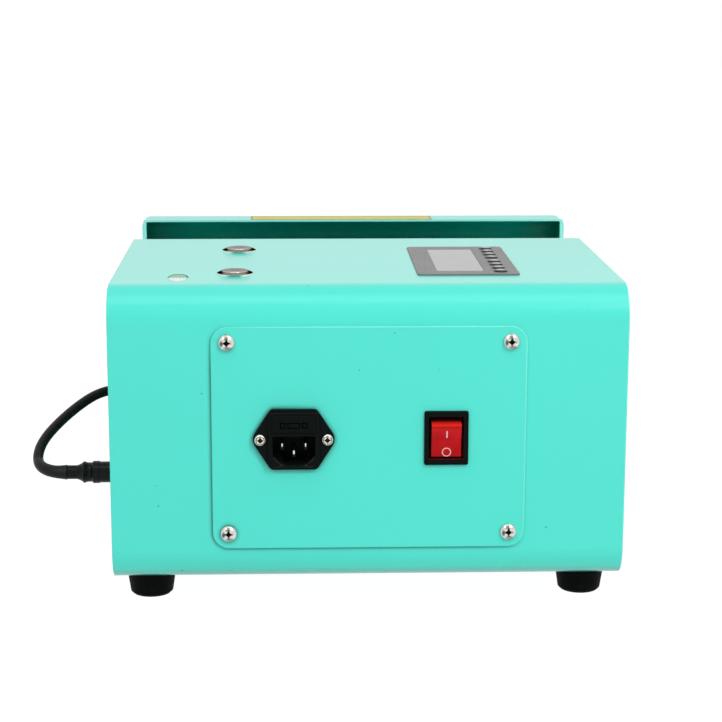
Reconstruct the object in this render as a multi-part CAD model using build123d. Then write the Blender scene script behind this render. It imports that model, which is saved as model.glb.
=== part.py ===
from build123d import *
import math
import os

# Tumbler heat press, in millimetres, +Z up. -Y is the operator's side, +Y the back, and +X
# the side of the tumbler bay. Everything is drawn from the control box's left face (X = 0),
# the middle of its length (Y = 0) and the surface that it stands on (Z = 0). At the end it
# is moved so that the origin lies under the middle of the bounding box, cable left out.

# Casing
box_depth = 208.0
box_length = 310.0
box_height = 181.0
sheet = 1.5
bend_radius = 20.0
lip_height = 12.0
rim_width = 12.0
panel_recess = 0.5
edge_gap = 0.2

# Bay and hood
bay_gap = 76.0
hood_rise = 3.2
wall_gap = 6.7
loading_radius = 50.0
hood_corner_radius = 4.5
hem_width = 8.0
hem_thickness = 3.0

# Feet
foot_height = 16.5
foot_top_radius = 15.5
foot_bottom_radius = 13.2
foot_inset_x = 36.0
foot_inset_y = 21.0
foot_recess = 7.0
foot_recess_radius = 7.0

# Fasteners
screw_gap = 0.15
plate_screw_head = 10.0
plate_screw_shank = 5.0
small_screw_head = 6.6
small_screw_shank = 3.4
inlet_screw_head = 7.0
inlet_screw_shank = 3.8

# Access plate on the left face
plate_length = 188.0
plate_height = 136.0
plate_radius = 10.0
plate_screws_y = 169.0
plate_screws_z = 117.2
access_length = 148.0
access_height = 96.0

# Mains inlet with its fuse drawer
inlet_y = 45.0
inlet_pitch = 40.0
flange_width = 51.0
flange_height = 36.7
flange_flat = 27.6
flange_thick = 3.0
block_width = 30.5
block_height = 34.0
block_proud = 2.0
inlet_body_width = 28.0
inlet_body_height = 32.0
inlet_body_deep = 26.0
socket_width = 25.4
socket_height = 17.6
socket_drop = 6.3
socket_chamfer = 5.4
socket_deep = 18.5
pin_width = 2.0
pin_height = 4.0
pin_pitch = 14.0
pin_rise = 2.0
pin_short = 3.0
drawer_width = 24.0
drawer_height = 9.0
drawer_rise = 10.0
drawer_deep = 15.0
drawer_front = 1.2
drawer_gap = 0.3
fuse_radius = 2.6
fuse_length = 20.0

# Rocker switch
switch_y = -46.2
switch_frame_width = 26.5
switch_frame_height = 33.0
switch_proud = 2.0
switch_body_width = 24.0
switch_body_height = 30.0
switch_body_deep = 22.0
switch_mouth_width = 21.0
switch_mouth_height = 26.0
switch_mouth_deep = 15.0
rocker_width = 17.9
rocker_half = 10.7
rocker_reach = 9.2
rocker_dish = 1.6
rocker_tilt = 10.0
rocker_pivot_x = 5.0
trunnion_radius = 1.4
trunnion_gap = 0.08

# Temperature controller on the top
display_y = -63.1
display_length = 116.0
display_width = 63.4
display_proud = 0.9
display_radius = 3.0
display_case_length = 108.0
display_case_width = 55.0
display_case_deep = 22.0
display_face = 2.1
display_case_wall = 1.5
window_length = 91.0
window_width = 29.3
window_y = -58.9
window_ledge = 1.5
window_thick = 0.7
board_drop = 7.0
board_thick = 1.6
key_y = -83.6
key_radius = 4.3
key_gap = 0.2
key_proud = 1.3
key_pitch = 13.0
key_split = 16.6
key_flange = 1.0
key_skirt = 0.8
key_travel = 0.7
keys_per_group = 4

# Metal push buttons on the top
button_y = 80.7
button_pitch = 96.0
bezel_radius = 11.3
bezel_rise = 1.9
bezel_rim = 0.7
cap_radius = 8.1
cap_gap = 0.15
cap_rise = 2.4
cap_travel = 1.8
barrel_radius = 9.5
barrel_deep = 26.0
nut_thick = 3.5
nut_across = 24.0

# Heater socket and plug on the back
socket_x = 110.0
socket_up = 40.8
nose_radius = 5.4
nose_length = 8.0
socket_flange_radius = 7.8
socket_flange = 2.0
ring_gap = 0.1
ring_radius = 6.95
ring_band_radius = 7.4
ring_length = 20.8
ring_edge = 0.6
band_length = 5.0
band_chamfer = 0.9
neck_radius = 6.4
neck_length = 2.4
collar_radius = 7.2
collar_rise = 2.6
collar_fall = 5.2
collar_round = 0.35
collar_hollow = 0.4
sleeve_radius = 4.6
sleeve_length = 6.0
sleeve_chamfer = 0.3
cable_radius = 3.45
shrink_radius = 4.15
shrink_mouth_radius = 4.9
shrink_flare = 5.0
shrink_step = 0.2
shrink_gap = 0.05
shrink_corners = 5

# Heater jaws
jaw_gap = 6.0
mat_bore = 38.0
mat_thick = 3.35
mat_length = 244.0
shell_gap = 0.15
shell_thick = 1.0
shell_length = 240.0
jaw_split = 1.5
shell_lip = 5.0
jaw_travel = 16.0
fixed_plate_thick = 3.0
rib_thick = 5.0
rib_pitch = 85.0
rib_half = 36.0
rib_wall = 1.0
bracket_half_length = 100.0
bracket_half_height = 40.0

# Sliding carriage, its rods and the drive
rod_radius = 5.0
rod_pitch = 190.0
rod_fit = 0.05
support_width = 36.0
support_height = 20.0
support_screw_inset = 4.0
support_flange = 5.0
support_length = 15.0
support_hub = 10.0
bearing_length = 40.0
bearing_width = 36.0
bearing_height = 22.0
bearing_margin = 6.0
carriage_thick = 4.0
carriage_half_length = 113.0
upright_thick = 3.0
upright_top = 38.0
carriage_length = 91.0
moving_rib_wall = 2.0
gusset = 16.0
lug_length = 16.0
tube_radius = 14.0
tube_front_gap = 5.0
tube_length = 104.0
gearbox_length = 30.0
gearbox_half_width = 18.0
motor_radius = 15.0
motor_length = 62.0
motor_up = 34.0
clamp_width = 18.0
clamp_base = 3.0
clamp_wall = 4.0

# Vents of the back panel
vent_length = 26.0
vent_width = 3.0
vent_pitch = 7.0
vent_columns = (60.0, 95.0)
vents_up = 100.0
vents_per_column = 7

# Supply and control board on the floor of the control box
supply_size = (110.0, 78.0, 36.0)
supply_x = 40.0
supply_inset = 36.0
supply_foot = 4.5
terminal_block = (10.0, 2.0, 80.0, 12.0, 13.0)
grille_length = 30.0
grille_width = 4.0
grille_pitch = 9.0
grille_inset = 10.0
grille_slots = 11
pcb_size = (110.0, 85.0)
pcb_x = 50.0
pcb_inset = 29.0
standoff = 10.0
standoff_radius = 3.2
standoff_inset = 6.0

# Parts on the control board: place in X and Y from its corner, length, width and height
transformer = (14.0, 14.0, 30.0, 26.0, 22.0)
relays = [(50.0, 12.0, 15.0, 19.0, 15.0), (70.0, 12.0, 15.0, 19.0, 15.0)]
plug_row = (14.0, 69.0, 50.0, 10.0, 11.0)
capacitor_places = [(52.0, 46.0), (65.0, 46.0), (78.0, 46.0)]
capacitor_radius = 5.0
capacitor_height = 16.0
sink_block = (92.0, 16.0, 12.0, 50.0, 26.0)
sink_base = 4.0
sink_fin = 3.0
sink_fins = 6

# Places worked out from the sizes above
z_floor = foot_height
z_top = z_floor + box_height
z_mid = z_floor + box_height / 2
half_length = box_length / 2
x_hood = box_depth + bay_gap
z_hood = z_top + hood_rise
y_panel = half_length - panel_recess
y_rim = y_panel - sheet
x_divider = box_depth - sheet
x_plate = -sheet
x_jaw = x_divider + fixed_plate_thick + rib_wall + mat_bore + mat_thick + 2 * shell_gap + shell_thick
x_jaw_open = x_jaw + jaw_travel
z_socket = z_floor + socket_up
x_display = box_depth / 2 + 0.5
shell_inner = mat_bore + mat_thick + shell_gap
shell_outer = shell_inner + shell_thick
rib_bore = shell_outer + shell_gap
z_rod = z_floor + bend_radius + support_height / 2 + 0.5
z_carriage = z_rod + bearing_height / 2
z_deck = z_carriage + carriage_thick
z_jaw = z_deck + jaw_gap + shell_lip + shell_outer
x_upright = x_jaw_open + rib_bore + moving_rib_wall
x_carriage = x_upright + upright_thick
x_wall = x_carriage + wall_gap + sheet

# Points of the heater cable's route, from the plug to the heater
cable_route = [
    (110.0, 193.6, 57.3),
    (110.0, 198.6, 57.3),
    (111.2, 203.5, 57.6),
    (113.8, 208.1, 58.2),
    (117.8, 212.0, 59.4),
    (123.2, 214.4, 61.3),
    (130.5, 215.2, 64.5),
    (141.0, 214.1, 68.8),
    (154.5, 210.2, 73.4),
    (171.0, 203.0, 78.8),
    (187.5, 193.8, 84.3),
    (201.5, 184.3, 88.4),
    (212.0, 175.0, 89.6),
    (219.6, 165.4, 88.3),
    (223.91, 156.0, 86.26),
    (223.91, 146.0, 86.26),
]

parts = {}


def xz_face(x_lo, x_hi, z_lo, z_hi, left=0.0, right=0.0):
    """An outline seen from the front, with its left or right corners rounded."""
    face = Pos((x_lo + x_hi) / 2, (z_lo + z_hi) / 2) * Rectangle(x_hi - x_lo, z_hi - z_lo)
    if left > 0:
        face = fillet(face.vertices().group_by(Axis.X)[0], left)
    if right > 0:
        face = fillet(face.vertices().group_by(Axis.X)[-1], right)
    return face


def along_x(face, x_lo, x_hi):
    """A YZ outline made solid between two stations along X."""
    return extrude(Plane.YZ.offset(x_lo) * face, amount=x_hi - x_lo)


def along_y(face, y_lo, y_hi):
    """An XZ outline made solid between two stations along Y."""
    return extrude(Plane.XZ.offset(-y_hi) * face, amount=y_hi - y_lo)


def along_z(face, z_lo, z_hi):
    """An XY outline made solid between two stations along Z."""
    return extrude(Plane.XY.offset(z_lo) * face, amount=z_hi - z_lo)


def block(x_lo, x_hi, y_lo, y_hi, z_lo, z_hi):
    """A plain block between six planes."""
    size = Box(x_hi - x_lo, y_hi - y_lo, z_hi - z_lo)
    return Pos((x_lo + x_hi) / 2, (y_lo + y_hi) / 2, (z_lo + z_hi) / 2) * size


def disc_x(radius, x_lo, x_hi, y, z):
    """A round bar along X."""
    return along_x(Pos(y, z) * Circle(radius), x_lo, x_hi)


def turned(points):
    """A solid of revolution about Z from its half outline in the XZ plane."""
    return revolve(Plane.XZ * make_face(Polyline(*points, close=True)), Axis.Z)


def mirrored(values):
    """Each value and its negative."""
    return [sign * value for value in values for sign in (1, -1)]


def pan_screw(head, shank, length, crossed=False):
    """A pan-head screw whose head sits on Z = 0 with its shank below."""
    rise = 0.3 * head
    crown = Line((shank / 2, 0), (head / 2, 0)) + Line((head / 2, 0), (head / 2, 0.4 * rise))
    crown += ThreePointArc((head / 2, 0.4 * rise), (0.4 * head, 0.8 * rise), (0.2 * head, rise))
    stem = Polyline((0.2 * head, rise), (0, rise), (0, -length), (shank / 2, -length), (shank / 2, 0))
    screw = revolve(Plane.XZ * make_face(crown + stem), Axis.Z)
    if crossed:
        slot = Pos(0, 0, rise) * Box(0.56 * head, 0.12 * head, rise)
        screw -= slot + Rot(0, 0, 90) * slot
    return screw


def facing(x, y, z, direction):
    """A place whose local +Z points along the given direction."""
    return Plane(origin=(x, y, z), z_dir=direction)


def plate_points():
    """The four screws of the access plate, as Y and Z."""
    return [(y, z_mid + z) for y in mirrored([plate_screws_y / 2]) for z in mirrored([plate_screws_z / 2])]


def foot_points():
    """The four feet, as X and Y."""
    xs = (foot_inset_x, x_wall - foot_inset_x)
    return [(x, y) for x in xs for y in mirrored([half_length - foot_inset_y])]


def panel_points():
    """The eight screws of an end panel, as X and Z."""
    inset = sheet + rim_width / 2
    side = [(x_divider - rim_width / 2, z_mid + z) for z in mirrored([box_height / 4])]
    edges = [(i * box_depth / 4, z) for i in (1, 2, 3) for z in (z_floor + inset, z_top - inset)]
    return side + edges


def divider_points():
    """The screws through the divider's lips, as Y, Z and the face that they sit on."""
    inset = lip_height * 0.6
    low = [(i * box_length / 5, z_floor + inset, box_depth + edge_gap + sheet) for i in range(-2, 3)]
    high = [(i * box_length / 3, z_top - inset, box_depth) for i in range(-1, 2)]
    return low + high


def button_points():
    """The two push buttons, as X and Y."""
    return [(box_depth / 2 + x, button_y) for x in mirrored([button_pitch / 2])]


def key_points():
    """X of each of the controller's keys, front to back along the panel."""
    first = key_split / 2
    offsets = [first + i * key_pitch for i in range(keys_per_group)]
    return sorted(x_display + x for x in mirrored(offsets))


# Casing
def control_box_shell():
    outline = xz_face(0, box_depth, z_floor, z_top, left=bend_radius)
    hollow = xz_face(sheet, box_depth - sheet, z_floor + sheet, z_top - sheet, left=bend_radius - sheet)
    mouth = xz_face(box_depth - 2 * sheet, box_depth + sheet, z_floor + lip_height, z_top - lip_height)
    shell = along_y(outline - hollow - mouth, -half_length, half_length)
    skin = sheet / 2
    rim = xz_face(skin, x_divider - 2 * sheet, z_floor + skin, z_top - skin, left=bend_radius - skin)
    inset = sheet + rim_width
    rim -= xz_face(inset, box_depth, z_floor + inset, z_top - inset, left=bend_radius - inset + 2)
    for y in (-y_rim, y_rim - sheet):
        shell += along_y(rim, y, y + sheet)
    access = Pos(0, z_mid) * RectangleRounded(access_length, access_height, 8)
    shell -= along_x(access, -sheet, 2 * sheet)
    for y, z in plate_points():
        shell -= disc_x(plate_screw_shank / 2 + screw_gap, -sheet, 2 * sheet, y, z)
    top = z_top - 2 * sheet
    case = Rectangle(display_case_length + 2 * edge_gap, display_case_width + 2 * edge_gap)
    shell -= along_z(Pos(x_display, display_y) * case, top, z_top + sheet)
    for x, y in button_points():
        shell -= along_z(Pos(x, y) * Circle(barrel_radius + edge_gap), top, z_top + sheet)
    for place in foot_points()[:2]:
        shell -= floor_hole(place)
    for x, z in panel_points():
        hole = Pos(x, z) * Circle(small_screw_shank / 2 + screw_gap)
        shell -= along_y(hole, -half_length, half_length)
    for y, z, face in divider_points():
        shell -= disc_x(small_screw_shank / 2 + screw_gap, x_divider - sheet, box_depth + sheet, y, z)
    return shell


def hood_pan(inset, radius, x_open, corner):
    """The hood's rounded form, inset by the sheet for its inside."""
    outline = xz_face(x_open, x_wall - inset, z_floor + inset, z_hood - inset, right=radius)
    pan = along_y(outline, -half_length + inset, half_length - inset)
    ends = [face for face in pan.faces() if abs(face.normal_at().Y) > 0.9]
    edges = [edge for face in ends for edge in face.edges() if edge.center().X > x_open + 1]
    return fillet(edges, corner)


def hood_shell():
    pan = hood_pan(0, bend_radius, x_hood, hood_corner_radius)
    pan -= hood_pan(sheet, bend_radius - sheet, x_hood - 5, hood_corner_radius - sheet)
    left = box_depth + edge_gap
    tray = block(left, x_hood + 10, -half_length, half_length, z_floor, z_floor + sheet)
    tray += block(left, left + sheet, -half_length, half_length, z_floor, z_floor + lip_height)
    hem = sheet
    for side in (-1, 1):
        ys = sorted((side * half_length, side * (half_length - sheet)))
        tray += block(left, x_hood + 2, ys[0], ys[1], z_floor, z_floor + lip_height)
        ys = sorted((side * (half_length - hem / 2), side * (half_length - hem_thickness)))
        pan += block(x_hood, x_hood + hem_width, ys[0], ys[1], z_floor + hem, z_hood - hem / 2)
    middle = (x_jaw + x_jaw_open) / 2
    notch = Pos(middle, z_jaw) * Circle(loading_radius)
    notch += xz_face(box_depth, middle, z_jaw - loading_radius, z_jaw + loading_radius)
    hood = pan - along_y(notch, -box_length, box_length) + tray
    for place in foot_points()[2:]:
        hood -= floor_hole(place)
    for y, z, face in divider_points()[:5]:
        hood -= disc_x(small_screw_shank / 2 + screw_gap, box_depth, box_depth + 3 * sheet, y, z)
    return hood


def floor_hole(place):
    """The hole in the bottom sheet for a foot's screw."""
    hole = Pos(*place) * Circle(plate_screw_shank / 2 + screw_gap)
    return along_z(hole, z_floor - sheet, z_floor + 2 * sheet)


def divider_wall():
    low = z_floor + sheet
    high = z_top - sheet
    wall = block(x_divider - sheet, x_divider, -y_rim, y_rim, low, high)
    inset = sheet + rim_width + edge_gap
    near = x_divider - rim_width
    for y in (-y_rim, y_rim - sheet):
        wall += block(near, x_divider - sheet / 2, y, y + sheet, z_floor + inset, z_top - inset)
    wall -= disc_x(rod_radius + 2, x_divider - 2 * sheet, box_depth, 0, z_rod)
    for y, z, face in divider_points():
        wall -= disc_x(small_screw_shank / 2 + screw_gap, x_divider - 2 * sheet, box_depth, y, z)
    for y, z in jaw_screw_points() + support_screw_points():
        wall -= disc_x(small_screw_shank / 2 + screw_gap, x_divider - 2 * sheet, box_depth, y, z)
    for x, z in panel_points():
        wall -= along_y(Pos(x, z) * Circle(small_screw_shank / 2 + screw_gap), -half_length, half_length)
    return wall


def end_panel():
    gap = sheet + edge_gap
    outline = xz_face(gap, x_divider - edge_gap, z_floor + gap, z_top - gap, left=bend_radius - gap)
    for x, z in panel_points():
        outline -= Pos(x, z) * Circle(small_screw_shank / 2 + screw_gap)
    return outline


def vents():
    """Two columns of slots beside the supply."""
    slot = SlotOverall(vent_length, vent_width)
    heights = [z_floor + vents_up + vent_pitch * i for i in range(vents_per_column)]
    return Sketch() + [Pos(x, z) * slot for x in vent_columns for z in heights]


def back_panel():
    outline = end_panel() - Pos(socket_x, z_socket) * Circle(nose_radius + edge_gap)
    return along_y(outline - vents(), y_rim, y_panel)


def access_plate():
    outline = Pos(0, z_mid) * RectangleRounded(plate_length, plate_height, plate_radius)
    body = Rectangle(inlet_body_width + 2 * edge_gap, inlet_body_height + 2 * edge_gap)
    outline -= Pos(inlet_y, z_mid) * body
    body = Rectangle(switch_body_width + 2 * edge_gap, switch_body_height + 2 * edge_gap)
    outline -= Pos(switch_y, z_mid) * body
    for y, z in plate_points():
        outline -= Pos(y, z) * Circle(plate_screw_shank / 2 + screw_gap)
    for y in mirrored([inlet_pitch / 2]):
        outline -= Pos(inlet_y + y, z_mid) * Circle(inlet_screw_shank / 2 + screw_gap)
    return along_x(outline, x_plate, 0)


def foot():
    """A tapered rubber foot with a recess for its screw."""
    pad = turned([
        (plate_screw_shank / 2 + screw_gap, foot_recess),
        (foot_recess_radius, foot_recess),
        (foot_recess_radius, 0),
        (foot_bottom_radius - 1.5, 0),
        (foot_bottom_radius, 1.5),
        (foot_top_radius, foot_height),
        (plate_screw_shank / 2 + screw_gap, foot_height),
    ])
    return pad


def casing():
    parts["control_box_shell"] = control_box_shell()
    parts["hood_shell"] = hood_shell()
    parts["divider_wall"] = divider_wall()
    parts["front_panel"] = along_y(end_panel(), -y_panel, -y_rim)
    parts["back_panel"] = back_panel()
    parts["access_plate"] = access_plate()
    screw = pan_screw(plate_screw_head, plate_screw_shank, 9, crossed=True)
    parts["access_plate_screws"] = [facing(x_plate, y, z, (-1, 0, 0)) * screw for y, z in plate_points()]
    screw = pan_screw(small_screw_head, small_screw_shank, 5)
    ends = [facing(x, y, z, (0, y, 0)) * screw for x, z in panel_points() for y in mirrored([y_panel])]
    parts["end_panel_screws"] = ends
    parts["bay_screws"] = [facing(face, y, z, (1, 0, 0)) * screw for y, z, face in divider_points()]
    parts["feet"] = [Pos(x, y, 0) * foot() for x, y in foot_points()]
    screw = pan_screw(plate_screw_head, plate_screw_shank, foot_height - foot_recess + 6)
    parts["foot_screws"] = [facing(x, y, foot_recess, (0, 0, -1)) * screw for x, y in foot_points()]


# Mains inlet and fuse drawer
def inlet_flange():
    tip = flange_width / 2
    flat = flange_flat / 2
    rise = flange_height / 2
    corners = [(tip, 0), (flat, rise), (-flat, rise), (-tip, 0), (-flat, -rise), (flat, -rise)]
    face = make_face(Polyline(*corners, close=True))
    ends = face.vertices().group_by(Axis.X)
    face = fillet(ends[0] + ends[-1], 6.5)
    shoulders = [v for v in face.vertices() if abs(abs(v.Y) - rise) < 0.01]
    return fillet(shoulders, 3)


def socket_outline(grow=0.0):
    """The inlet's mouth: a rectangle with two lower corners cut off."""
    half = socket_width / 2 + grow
    rise = socket_height / 2 + grow
    cut = socket_chamfer
    mouth = Polyline((-half, rise), (half, rise), (half, -rise + cut), (half - cut, -rise),
                     (-half + cut, -rise), (-half, -rise + cut), close=True)
    return Pos(inlet_y, z_mid - socket_drop) * make_face(mouth)


def inlet_pins():
    face = x_plate - flange_thick - block_proud
    floor = face + socket_deep
    live = z_mid - socket_drop + pin_rise
    earth = z_mid - socket_drop - pin_rise - 0.2
    rear = inlet_body_deep + 8
    blade = RectangleRounded(pin_width, pin_height, 0.5)
    pins = [along_x(Pos(inlet_y, earth) * blade, face + pin_short - 1, rear)]
    for y in mirrored([pin_pitch / 2]):
        pins.append(along_x(Pos(inlet_y + y, live) * blade, face + pin_short, rear))
    return pins


def inlet_body(pins):
    face = x_plate - flange_thick - block_proud
    body = along_x(Pos(inlet_y, z_mid) * inlet_flange(), x_plate - flange_thick, x_plate)
    raised = Pos(inlet_y, z_mid) * RectangleRounded(block_width, block_height, 1.5)
    raised = along_x(raised, face, x_plate - 1)
    raised = chamfer(raised.faces().sort_by(Axis.X)[0].edges(), 0.8)
    rear = Pos(inlet_y, z_mid) * RectangleRounded(inlet_body_width, inlet_body_height, 1.5)
    body += raised + along_x(rear, x_plate - 1, inlet_body_deep)
    body -= along_x(socket_outline(), face - 1, face + socket_deep)
    z_drawer = z_mid + drawer_rise
    pocket = Rectangle(drawer_width + 2 * drawer_gap, drawer_height + 2 * drawer_gap)
    body -= along_x(Pos(inlet_y, z_drawer) * pocket, face - 1, face + drawer_deep + 2 * drawer_gap)
    for y in mirrored([inlet_pitch / 2]):
        body -= disc_x(inlet_screw_shank / 2 + screw_gap, face, 1, inlet_y + y, z_mid)
    for pin in pins:
        body -= pin
    return body


def fuse_drawer():
    face = x_plate - flange_thick - block_proud
    z_drawer = z_mid + drawer_rise
    front = face - drawer_front
    middle = Pos(inlet_y, z_drawer)
    lip = along_x(middle * RectangleRounded(drawer_width + 1.6, drawer_height + 1.6, 1), front, face)
    lip = chamfer(lip.faces().sort_by(Axis.X)[0].edges(), 0.4)
    body = along_x(middle * Rectangle(drawer_width, drawer_height), face - 0.2, face + drawer_deep)
    tray = lip + body
    pocket = fuse_radius + drawer_gap
    reach = fuse_length / 2 + drawer_gap
    for x in fuse_stations():
        tray -= block(x - pocket, x + pocket, inlet_y - reach, inlet_y + reach,
                      z_drawer - fuse_radius, z_drawer + drawer_height)
    low = z_drawer - drawer_height
    return tray - block(front - 1, face - 0.3, inlet_y - 3, inlet_y + 3, low, low + drawer_height / 2)


def fuse_stations():
    face = x_plate - flange_thick - block_proud
    return [face + 4.2, face + 11.0]


def inlet():
    pins = inlet_pins()
    parts["inlet_body"] = inlet_body(pins)
    parts["inlet_pins"] = pins
    screw = pan_screw(inlet_screw_head, inlet_screw_shank, 9, crossed=True)
    head = x_plate - flange_thick
    ys = [inlet_y + y for y in mirrored([inlet_pitch / 2])]
    parts["inlet_screws"] = [facing(head, y, z_mid, (-1, 0, 0)) * screw for y in ys]
    parts["fuse_drawer"] = fuse_drawer()
    start = Pos(0, inlet_y - fuse_length / 2, z_mid + drawer_rise)
    fuse = start * Rot(-90, 0, 0) * turned([
        (0, 0),
        (fuse_radius - 0.05, 0),
        (fuse_radius - 0.05, 5),
        (fuse_radius - 0.4, 5),
        (fuse_radius - 0.4, fuse_length - 5),
        (fuse_radius - 0.05, fuse_length - 5),
        (fuse_radius - 0.05, fuse_length),
        (0, fuse_length),
    ])
    parts["fuses"] = [Pos(x, 0, 0) * fuse for x in fuse_stations()]


# Rocker switch
def switch_frame():
    rim = along_x(Pos(switch_y, z_mid) * RectangleRounded(switch_frame_width, switch_frame_height, 1.2),
                  x_plate - switch_proud, x_plate)
    rim = fillet(rim.faces().sort_by(Axis.X)[0].edges(), 0.7)
    body = Pos(switch_y, z_mid) * Rectangle(switch_body_width, switch_body_height)
    frame = rim + along_x(body, x_plate - 0.5, switch_body_deep)
    mouth = Pos(switch_y, z_mid) * Rectangle(switch_mouth_width, switch_mouth_height)
    frame -= along_x(mouth, x_plate - switch_proud - 1, x_plate + switch_mouth_deep)
    reach = switch_mouth_width / 2 + 1.0
    axle = Pos(rocker_pivot_x, z_mid) * Circle(trunnion_radius + trunnion_gap)
    frame -= along_y(axle, switch_y - reach, switch_y + reach)
    for z in (-9, 0, 9):
        frame += block(switch_body_deep - 0.5, switch_body_deep + 8, switch_y - 3.2, switch_y + 3.2,
                       z_mid + z - 0.4, z_mid + z + 0.4)
    return frame


def switch_rocker():
    """The rocker at rest, its lower end pressed in."""
    back = 3.2
    side = Polyline((-rocker_reach + rocker_dish, 0), (-rocker_reach, rocker_half), (1, rocker_half - 0.4),
                    (back, 0), (1, -rocker_half + 0.4), (-rocker_reach, -rocker_half), close=True)
    face = make_face(side)
    tips = [v for v in face.vertices() if v.X < -rocker_reach + 0.1]
    face = fillet(tips, 0.8)
    body = along_y(face, -rocker_width / 2, rocker_width / 2)
    reach = switch_mouth_width / 2 + 0.8
    body += along_y(Circle(trunnion_radius), -reach, reach)
    return Pos(rocker_pivot_x, switch_y, z_mid) * Rot(0, -rocker_tilt, 0) * body


def switch():
    parts["switch_frame"] = switch_frame()
    parts["switch_rocker"] = switch_rocker()


# Temperature controller
def display_bezel():
    low = z_top - display_case_deep
    top = z_top + display_proud
    middle = Pos(x_display, display_y)
    plate = along_z(middle * RectangleRounded(display_length, display_width, display_radius), z_top, top)
    plate = fillet(plate.faces().sort_by(Axis.Z)[-1].edges(), 0.5)
    case = along_z(middle * Rectangle(display_case_length, display_case_width), low, z_top + 0.3)
    wall = 2 * display_case_wall
    hollow = Rectangle(display_case_length - wall, display_case_width - wall)
    case -= along_z(middle * hollow, low - 1, top - display_face)
    body = plate + case
    pane = Pos(x_display, window_y) * Rectangle(window_length, window_width)
    body -= along_z(pane, top - 0.1 - window_thick, top + 1)
    opening = Rectangle(window_length - 2 * window_ledge, window_width - 2 * window_ledge)
    body -= along_z(Pos(x_display, window_y) * opening, low, top)
    for x in key_points():
        body -= along_z(Pos(x, key_y) * Circle(key_radius + key_gap), low, top + 1)
    post_x = display_case_length / 2 - display_case_wall - 2
    post_y = display_case_width / 2 - display_case_wall - 2
    for x, y in ((-post_x, post_y), (post_x, post_y), (0, -post_y)):
        post = Pos(x_display + x, display_y + y) * Rectangle(4.4, 4.4)
        body += along_z(post, z_top - board_drop, top - display_face + 0.3)
    return body


def display_board():
    """The controller's board with its glass module and a switch under each key."""
    inset = 2 * (display_case_wall + edge_gap)
    board = Rectangle(display_case_length - inset, display_case_width - inset)
    top = z_top - board_drop
    body = along_z(Pos(x_display, display_y) * board, top - board_thick, top)
    module = Rectangle(window_length - 2, window_width + 1)
    body += along_z(Pos(x_display, window_y) * module, top - 0.2, z_top + display_proud - display_face - 0.3)
    flange_low = z_top + display_proud - display_face - 0.1 - key_flange
    for x in key_points():
        body += along_z(Pos(x, key_y) * Rectangle(6, 6), top - 0.2, flange_low - key_travel - 1.1)
        body += along_z(Pos(x, key_y) * Circle(1.6), top - 0.2, flange_low - key_travel - 0.6)
    under = top - board_thick + 0.2
    relay = block(x_display - 40, x_display - 12, display_y - 8, display_y + 8, top - 13, under)
    terminals = block(x_display + 5, x_display + 45, display_y - 20, display_y - 10, top - 12, under)
    return body + relay + terminals


def key(x):
    """A domed round key whose skirt keeps it under the bezel."""
    top = z_top + display_proud
    under = top - display_face - 0.1
    low = under - key_flange
    crown = top + key_proud - low
    flat = key_radius / 2
    dome = Line((key_radius, key_flange), (key_radius, crown - 0.6))
    dome += ThreePointArc((key_radius, crown - 0.6), (key_radius * 0.82, crown - 0.15), (flat, crown))
    wide = key_radius + key_skirt
    base = Polyline((flat, crown), (0, crown), (0, 0), (wide, 0), (wide, key_flange),
                    (key_radius, key_flange))
    body = revolve(Plane.XZ * make_face(dome + base), Axis.Z)
    return Pos(x, key_y, low) * body


def controller():
    parts["display_bezel"] = display_bezel()
    low = z_top + display_proud - 0.1 - window_thick
    pane = Rectangle(window_length - 0.2, window_width - 0.2)
    parts["display_window"] = along_z(Pos(x_display, window_y) * pane, low, low + window_thick)
    parts["display_board"] = display_board()
    for number, x in enumerate(key_points(), start=1):
        parts[f"key_{number}"] = key(x)


# Push buttons
def button_bezel():
    bore = cap_radius + cap_gap
    return turned([
        (bore, -cap_travel - 2.5),
        (bore, bezel_rise),
        (bore + 0.5, bezel_rise),
        (bezel_radius, bezel_rim),
        (bezel_radius, 0),
        (barrel_radius, 0),
        (barrel_radius, -barrel_deep),
        (0, -barrel_deep),
        (0, -cap_travel - 2.5),
    ])


def button_cap():
    low = -1.5
    return turned([
        (0, low),
        (cap_radius, low),
        (cap_radius, cap_rise - 0.5),
        (cap_radius - 0.5, cap_rise),
        (0, cap_rise),
    ])


def buttons():
    places = [Pos(x, y, z_top) for x, y in button_points()]
    parts["button_bezels"] = [place * button_bezel() for place in places]
    nut = RegularPolygon(nut_across / 2, 6, major_radius=False) - Circle(barrel_radius + 0.05)
    low = z_top - sheet - nut_thick
    parts["button_nuts"] = [Pos(x, y, 0) * along_z(nut, low, z_top - sheet) for x, y in button_points()]
    parts["stop_button"] = places[0] * button_cap()
    parts["start_button"] = places[1] * button_cap()


# Heater socket, plug and cable
def on_socket(points):
    """A turned piece on the socket's axis, measured outward from the back panel."""
    return Pos(socket_x, y_panel, z_socket) * Rot(-90, 0, 0) * turned(points)


def heater_socket():
    return on_socket([
        (0, -18),
        (4.6, -18),
        (4.6, -12),
        (nose_radius, -12),
        (nose_radius, 0),
        (socket_flange_radius, 0),
        (socket_flange_radius, socket_flange),
        (nose_radius, socket_flange),
        (nose_radius, socket_flange + nose_length),
        (0, socket_flange + nose_length),
    ])


def plug_stations():
    """Where the plug's ring ends, its ridge stands and its sleeve begins, outward from the panel."""
    ring_end = socket_flange + ring_gap + ring_length
    ridge = ring_end + neck_length + collar_rise
    return ring_end, ridge, ridge + collar_fall


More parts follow.
